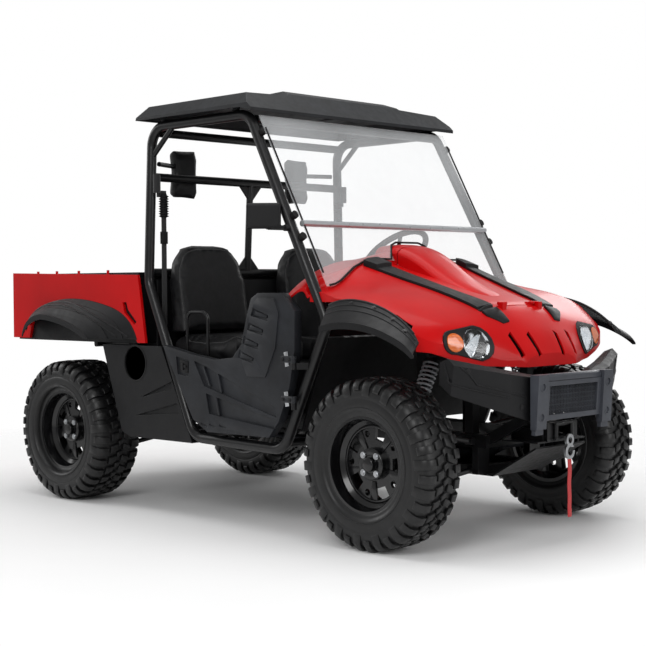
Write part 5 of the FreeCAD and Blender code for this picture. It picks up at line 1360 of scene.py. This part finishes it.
def make_bumper_details():
    """Bolts, creases and upper bar of the bumper, the woven guard mesh with its backing and hole rims, and the
    nose liner.
    """
    form = Form()
    cap_outline = [(1.4360, 0.6405), (1.4600, 0.6405), (1.4600, 0.660), (1.4520, 0.668), (1.4360, 0.668)]
    side_slab(form, cap_outline, -0.1865, 0.1865)
    piece(form, "bumper_cap", "guard", "root", bevel=0.0025)
    crease = Form()
    side_line = []
    for x, z in ((1.262, 0.718), (1.280, 0.668), (1.300, 0.640), (1.400, 0.586)):
        spot, normal = seat_on("front_bumper", (x, -0.80, z), AXIS_Y)
        if spot is not None:
            side_line.append(spot)
    if len(side_line) > 2:
        tube(crease, smooth_line(side_line, 4), 0.0035, 8)
    front_line = []
    for k in range(9):
        y = -0.52 + 0.265 * k / 8
        z = 0.655 - 0.070 * k / 8 if k > 1 else 0.705 - 0.025 * k
        spot, normal = seat_on("front_bumper", (1.6, y, z), -AXIS_X)
        if spot is not None:
            front_line.append(spot)
    if len(front_line) > 2:
        tube(crease, front_line, 0.0035, 8)
    if crease.corners:
        crease.mirror()
        piece(crease, "bumper_creases", "black", "root")
    spots = []
    for y, z in ((-0.490, 0.690), (-0.275, 0.548)):
        spot, normal = seat_on("front_bumper", (1.6, y, z), -AXIS_X)
        if spot is not None:
            spots.append((tuple(spot + normal * 0.002), tuple(normal)))
    bolts("bumper_bolts", sided(spots), "tube", "root", 0.0065, 0.006)
    wires = Form()
    y_span = 0.160
    z_low = 0.510
    z_high = 0.624
    pitch = 0.0105
    count = int((2 * y_span + z_high - z_low) / pitch)
    for lean in (1, -1):
        for k in range(count + 1):
            start = -y_span - (z_high - z_low) + k * pitch if lean > 0 else -y_span + k * pitch
            a = Vector((1.4475 + 0.0012 * lean, start, z_low))
            b = Vector((1.4475 + 0.0012 * lean, start + lean * (z_high - z_low), z_high))
            low_y, high_y = sorted((a.y, b.y))
            t0, t1 = 0.0, 1.0
            run = b.y - a.y
            for limit, upper in ((-y_span, False), (y_span, True)):
                cut = (limit - a.y) / run
                if (run > 0) == upper:
                    t1 = min(t1, cut)
                else:
                    t0 = max(t0, cut)
            if t1 - t0 > 0.05:
                tube(wires, [a.lerp(b, t0), a.lerp(b, t1)], 0.0012, 4)
    piece(wires, "guard_weave", "guard", "root")
    backing = Form()
    slab(backing,
         [(1.4375, -0.158, 0.514), (1.4375, 0.158, 0.514), (1.4375, 0.158, 0.620), (1.4375, -0.158, 0.620)],
         (0.002, 0.0, 0.0))
    piece(backing, "guard_backing", "rubber", "root")
    bezels = Form()
    for y in (-0.219, 0.219):
        for z, x in ((0.508, 1.4630), (0.622, 1.4705)):
            lathe(bezels,
                  [(0.0135, -0.012), (0.0135, 0.0015), (0.0155, 0.0030), (0.0185, 0.0022), (0.0190, -0.002)],
                  (x, y, z), AXIS_X, 28)
    piece(bezels, "guard_hole_rims", "guard", "root", sharp=60.0)
    liner = Form()
    slab(liner,
         [(1.225, -0.285, 0.704), (1.225, 0.285, 0.704), (1.190, 0.285, 0.886), (1.190, -0.285, 0.886)],
         (-0.004, 0.0, 0.0))
    piece(liner, "nose_liner", "rubber", "root")


def make_strip_ends():
    """Pointed ends of the hood strips, on the cowl in front of the hood."""
    for body, node, x0, x1 in (("hood", "hood_panel", 1.184, 1.1975), ("root", "front_cowl", 1.203, 1.262)):
        form = Form()
        for s in (-1.0, 1.0):
            rings = []
            steps = 6
            for k in range(steps + 1):
                x = x0 + (x1 - x0) * k / steps
                share = (x - 0.664) / (1.190 - 0.664)
                y = 0.298 + (0.206 - 0.298) * share
                tip = max(0.0, (x - 1.225) / 0.037)
                inner = y - 0.044
                outer = y + 0.044 - 0.050 * tip
                ring = []
                for across in (inner, (inner + outer) / 2, outer):
                    spot, normal = seat_on(node, (x, s * across, 1.4), -AXIS_Z, default=(x, s * across, 0.9))
                    ring.append(spot)
                upper = [spot + Vector((0.002, 0, 0.010 - 0.004 * tip)) for spot in ring]
                lower = [spot - Vector((0, 0, 0.001)) for spot in ring]
                rings.append(upper + list(reversed(lower)))
            rings_joined(form, rings)
        piece(form, "strip_ends_" + body, "black", body, bevel=0.002)


# Running gear


def make_springs():
    """Smooth coils on the dampers, with their seats and boots."""
    coils = Form()
    seats = Form()
    for axle in (FRONT_AXLE_X, REAR_AXLE_X):
        low_end = Vector((axle, -0.400, 0.474))
        high_end = Vector((axle, -0.262, 0.722))
        low = low_end.lerp(high_end, 0.232)
        high = low_end.lerp(high_end, 0.888)
        along = (high - low).normalized()
        first, second = square_axes(along)
        turns = 10
        line = []
        for k in range(turns * 18 + 1):
            angle = 2 * math.pi * k / 18
            around = first * math.cos(angle) + second * math.sin(angle)
            line.append(low + (high - low) * (k / (turns * 18)) + around * 0.030)
        tube(coils, line, 0.0048, 8)
        lathe(seats, [(0.018, 0.0), (0.037, 0.001), (0.037, 0.006), (0.022, 0.009)], high, along, 36)
        lathe(seats, [(0.014, 0.010)] + [(0.019 if k % 2 else 0.015, 0.014 + 0.006 * k) for k in range(12)]
              + [(0.013, 0.088)], low, along, 24)
    coils.mirror()
    seats.mirror()
    piece(coils, "spring_coils", "spring", "root", ("coil_springs",))
    piece(seats, "damper_boots", "rubber", "root", sharp=50.0)


def make_belt_details():
    """Ribbed boots over the belt reels' webbing, and the buckle tongues."""
    boots = Form()
    profile = [(0.012, 0.0)]
    for j in range(9):
        profile += [(0.0235, 0.006 + 0.011 * j), (0.0150, 0.0115 + 0.011 * j)]
    profile.append((0.012, 0.108))
    lathe(boots, profile, (-0.348, -0.562, 1.318), AXIS_Z, 28)
    side_slab(boots, [(-0.356, 1.20), (-0.340, 1.20), (-0.340, 1.255), (-0.356, 1.255)], -0.578, -0.546)
    boots.mirror()
    piece(boots, "belt_boots", "rubber", "root", bevel=0.0012, sharp=50.0)


# Screen, cab and bed


def make_screen_trim():
    """Dark edging along the windscreen's lower contour and up its two sides."""
    edge = []
    for k in range(33):
        y = -0.575 + 1.15 * k / 32
        for z_step in range(60):
            z = 0.98 + 0.006 * z_step
            spot, normal = seat_on("windscreen_panes", (1.2, y, z), -AXIS_X)
            if spot is not None:
                edge.append(spot)
                break
    form = Form()
    if len(edge) > 4:
        tube(form, edge, 0.0045, 8)
    for s in (-1.0, 1.0):
        line = []
        for k in range(20):
            z = 1.06 + 0.60 * k / 19
            spot, normal = seat_on("windscreen_panes", (1.2, s * 0.583, z), -AXIS_X)
            if spot is not None:
                line.append(spot)
        if len(line) > 3:
            tube(form, line, 0.004, 8)
    piece(form, "screen_edging", "rubber", "root")


def make_intakes():
    """Round intake mouths in the rear side panels, with dark louvres inside."""
    form = Form()
    lathe(form, [(0.0845, -0.006), (0.0845, 0.002), (0.080, 0.0035), (0.076, 0.002), (0.076, -0.006)],
          (-0.457, -PANEL_FACE_Y + 0.001, 0.664), -AXIS_Y, 56)
    for k in range(7):
        z = 0.664 - 0.060 + 0.020 * k
        half = math.sqrt(max(0.075 ** 2 - (z - 0.664) ** 2, 0.0))
        side_slab(form, [(-0.457 - half, z - 0.003), (-0.457 + half, z - 0.003), (-0.457 + half, z + 0.003),
                         (-0.457 - half, z + 0.003)], -0.634, -0.616)
    form.mirror()
    piece(form, "intake_mouths", "rubber", "root", sharp=50.0)


def make_tail_details():
    """Handle and stiffening frame on the tailgate, and screws at the tail lamps."""
    handle = Form()
    slab(handle,
         [(-1.4545, -0.085, 0.985), (-1.4545, 0.085, 0.985), (-1.4545, 0.085, 1.030), (-1.4545, -0.085, 1.030)],
         (-0.004, 0.0, 0.0))
    grip = [(-1.457, -0.060, 0.998), (-1.468, -0.052, 1.000), (-1.468, 0.052, 1.000), (-1.457, 0.060, 0.998)]
    tube(handle, grip, 0.005, 12)
    piece(handle, "tailgate_handle", "black", "tailgate", bevel=0.0012)
    frame_form = Form()
    for y0, y1, z0, z1 in (
        (-0.50, 0.50, 0.945, 0.953),
        (-0.50, 0.50, 0.812, 0.820),
        (-0.50, -0.492, 0.82, 0.945),
        (0.492, 0.50, 0.82, 0.945),
        (-0.17, -0.162, 0.82, 0.945),
        (0.162, 0.17, 0.82, 0.945),
    ):
        outline = [(-1.4535, y0, z0), (-1.4535, y1, z0), (-1.4535, y1, z1), (-1.4535, y0, z1)]
        slab(frame_form, outline, (-0.003, 0, 0))
    piece(frame_form, "tailgate_ribs", "red", "tailgate", bevel=0.001)
    spots = [((-1.4520, y, z), (-1.0, 0.0, 0.0)) for y in (-0.608, 0.608) for z in (0.838, 0.972)]
    bolts("tail_lamp_screws", spots, "zinc", "bed", 0.0035, 0.003)


def make_cab_details():
    """Dials, vents, passenger bar, gear lever and pedals of the cab."""
    dials = Form()
    for y, radius in ((0.330, 0.046), (0.245, 0.024), (0.415, 0.024)):
        spot, normal = seat_on("dashboard", (0.1, y, 1.045), AXIS_X)
        if spot is not None:
            lathe(dials,
                  [(radius, -0.004), (radius, 0.006), (radius - 0.004, 0.008), (radius - 0.007, 0.003),
                   (0.0, 0.002)],
                  spot, -AXIS_X, 36)
    for y in (-0.42, -0.12, 0.10):
        for k in range(5):
            z = 0.985 + 0.010 * k
            spot, normal = seat_on("dashboard", (0.1, y, z), AXIS_X)
            if spot is not None:
                tube(dials, [spot + Vector((0.0, -0.045, 0.0)), spot + Vector((0.0, 0.045, 0.0))], 0.003, 6)
    piece(dials, "dash_details", "rubber", "root", sharp=50.0)
    bar = Form()
    ends = []
    for y in (-0.46, -0.20):
        spot, normal = seat_on("dashboard", (0.1, y, 0.930), AXIS_X)
        ends.append(spot if spot is not None else Vector((0.5, y, 0.930)))
    lift = Vector((-0.040, 0.0, 0.0))
    tube(bar, smooth_line([ends[0], ends[0] + lift * 0.8, ends[0] + lift + Vector((0, 0.03, 0)),
                           ends[1] + lift - Vector((0, 0.03, 0)), ends[1] + lift * 0.8, ends[1]], 4),
         0.009, 12)
    piece(bar, "passenger_bar", "tube", "root")
    lever = Form()
    spot, normal = seat_on("floor_tub", (0.200, 0.030, 1.4), -AXIS_Z)
    if spot is not None:
        lathe(lever, [(0.030, -0.002), (0.028, 0.010), (0.016, 0.028), (0.009, 0.034)], spot, AXIS_Z, 28)
        tube(lever, [spot, spot + Vector((-0.012, 0, 0.10)), spot + Vector((-0.016, 0, 0.150))], 0.006, 12)
        lathe(lever, [(0.006, -0.02), (0.017, -0.012), (0.021, 0.004), (0.016, 0.019), (0.0, 0.024)],
              spot + Vector((-0.016, 0, 0.160)), AXIS_Z, 28)
    for y in (0.255, 0.400):
        foot, normal = seat_on("floor_tub", (0.600, y, 0.62), -AXIS_Z)
        if foot is not None:
            tube(lever, [foot, foot + Vector((-0.020, 0, 0.085))], 0.006, 10)
            slab(lever, [foot + Vector((-0.032, -0.030, 0.055)), foot + Vector((-0.032, 0.030, 0.055)),
                         foot + Vector((-0.012, 0.030, 0.115)), foot + Vector((-0.012, -0.030, 0.115))],
                 (0.006, 0.0, 0.002))
    piece(lever, "lever_and_pedals", "rubber", "root", bevel=0.0008, sharp=50.0)


# Add-on layout


class VehicleColours(bpy.types.PropertyGroup):
    """Colours that may be changed before the pieces are made."""

    red: bpy.props.StringProperty(
        name="Body red", description="Lit shade of the body panels", default="#C4070A"
    )
    red_shade: bpy.props.StringProperty(
        name="Body red, deep", description="Deep shade of the panels", default="#AE0407"
    )
    # The windscreen colour also colours the sheet's painted pale sheen.
    sheet: bpy.props.StringProperty(
        name="Windscreen", description="Tint of the clear sheet", default="#F4F7F9"
    )


class VEHICLE_OT_stage(bpy.types.Operator):
    """Place the camera, the soft lights, the pale floor and the white room"""

    bl_idname = "vehicle.stage"
    bl_label = "Stage"

    def execute(self, context):
        place_camera()
        place_lights()
        place_floor()
        place_world()
        return {"FINISHED"}


class VEHICLE_OT_strap(bpy.types.Operator):
    """Make the pull strap that hangs from the hook"""

    bl_idname = "vehicle.strap"
    bl_label = "Pull strap"

    def execute(self, context):
        make_strap()
        return {"FINISHED"}


class VEHICLE_OT_panels(bpy.types.Operator):
    """Give every frame node that keeps its shape its finish"""

    bl_idname = "vehicle.panels"
    bl_label = "Frame finishes"

    def execute(self, context):
        for name, key in CARRIED.items():
            put_finish(NODES[name], key)
        for wheel in WHEELS:
            put_finish(NODES["rim_" + wheel], "rim")
        return {"FINISHED"}


class VEHICLE_OT_wheels(bpy.types.Operator):
    """Make the four tyres and the details of the wheels"""

    bl_idname = "vehicle.wheels"
    bl_label = "Tyres and wheels"

    def execute(self, context):
        for wheel in WHEELS:
            make_tyre(wheel)
            make_wheel_details(wheel)
        return {"FINISHED"}


class VEHICLE_OT_seats(bpy.types.Operator):
    """Make the seat pads, headrests and belts"""

    bl_idname = "vehicle.seats"
    bl_label = "Seats and belts"

    def execute(self, context):
        make_seat_pads()
        make_belt_details()
        return {"FINISHED"}


class VEHICLE_OT_lamps(bpy.types.Operator):
    """Make the lenses, bowls and bulbs of the front lamps"""

    bl_idname = "vehicle.lamps"
    bl_label = "Front lamps"

    def execute(self, context):
        make_lamps()
        return {"FINISHED"}


class VEHICLE_OT_doors(bpy.types.Operator):
    """Make the door shells, their ribs, latches and hinge plates"""

    bl_idname = "vehicle.doors"
    bl_label = "Doors"

    def execute(self, context):
        make_doors()
        return {"FINISHED"}


class VEHICLE_OT_front(bpy.types.Operator):
    """Make the details of the bumper, guard, nose, hood strips and windscreen"""

    bl_idname = "vehicle.front"
    bl_label = "Front details"

    def execute(self, context):
        make_bumper_details()
        make_strip_ends()
        make_screen_trim()
        return {"FINISHED"}


class VEHICLE_OT_flares(bpy.types.Operator):
    """Make the ridges and bolts of the wheel arch flares"""

    bl_idname = "vehicle.flares"
    bl_label = "Wheel arch flares"

    def execute(self, context):
        make_flare_details()
        return {"FINISHED"}


class VEHICLE_OT_springs(bpy.types.Operator):
    """Make the coils and boots of the four dampers"""

    bl_idname = "vehicle.springs"
    bl_label = "Springs"

    def execute(self, context):
        make_springs()
        return {"FINISHED"}


class VEHICLE_OT_sides(bpy.types.Operator):
    """Make the intake mouths, the cab details and the tailgate's and bed's details"""

    bl_idname = "vehicle.sides"
    bl_label = "Sides, cab and tail"

    def execute(self, context):
        make_intakes()
        make_cab_details()
        make_tail_details()
        return {"FINISHED"}


class VEHICLE_PT_pieces(bpy.types.Panel):
    """The vehicle's pieces, each with its maker"""

    bl_idname = "VEHICLE_PT_pieces"
    bl_label = "Utility vehicle"
    bl_space_type = "VIEW_3D"
    bl_region_type = "UI"
    bl_category = "Vehicle"

    def draw(self, context):
        for field in ("red", "red_shade", "sheet"):
            self.layout.prop(context.scene.vehicle_colours, field)
        for maker in MAKERS:
            self.layout.operator(maker.bl_idname)


MAKERS = (
    VEHICLE_OT_stage,
    VEHICLE_OT_strap,
    VEHICLE_OT_panels,
    VEHICLE_OT_wheels,
    VEHICLE_OT_seats,
    VEHICLE_OT_lamps,
    VEHICLE_OT_doors,
    VEHICLE_OT_front,
    VEHICLE_OT_flares,
    VEHICLE_OT_springs,
    VEHICLE_OT_sides,
)


def register():
    bpy.utils.register_class(VehicleColours)
    for maker in MAKERS:
        bpy.utils.register_class(maker)
    bpy.utils.register_class(VEHICLE_PT_pieces)
    bpy.types.Scene.vehicle_colours = bpy.props.PointerProperty(type=VehicleColours)


def unregister():
    del bpy.types.Scene.vehicle_colours
    bpy.utils.unregister_class(VEHICLE_PT_pieces)
    for maker in reversed(MAKERS):
        bpy.utils.unregister_class(maker)
    bpy.utils.unregister_class(VehicleColours)


def main():
    register()
    make_finishes(bpy.context.scene.vehicle_colours)
    bpy.ops.vehicle.stage()
    bpy.ops.vehicle.strap()
    bpy.ops.vehicle.panels()
    bpy.ops.vehicle.wheels()
    bpy.ops.vehicle.seats()
    bpy.ops.vehicle.lamps()
    bpy.ops.vehicle.doors()
    bpy.ops.vehicle.front()
    bpy.ops.vehicle.flares()
    bpy.ops.vehicle.springs()
    bpy.ops.vehicle.sides()


if __name__ == "__main__":
    main()
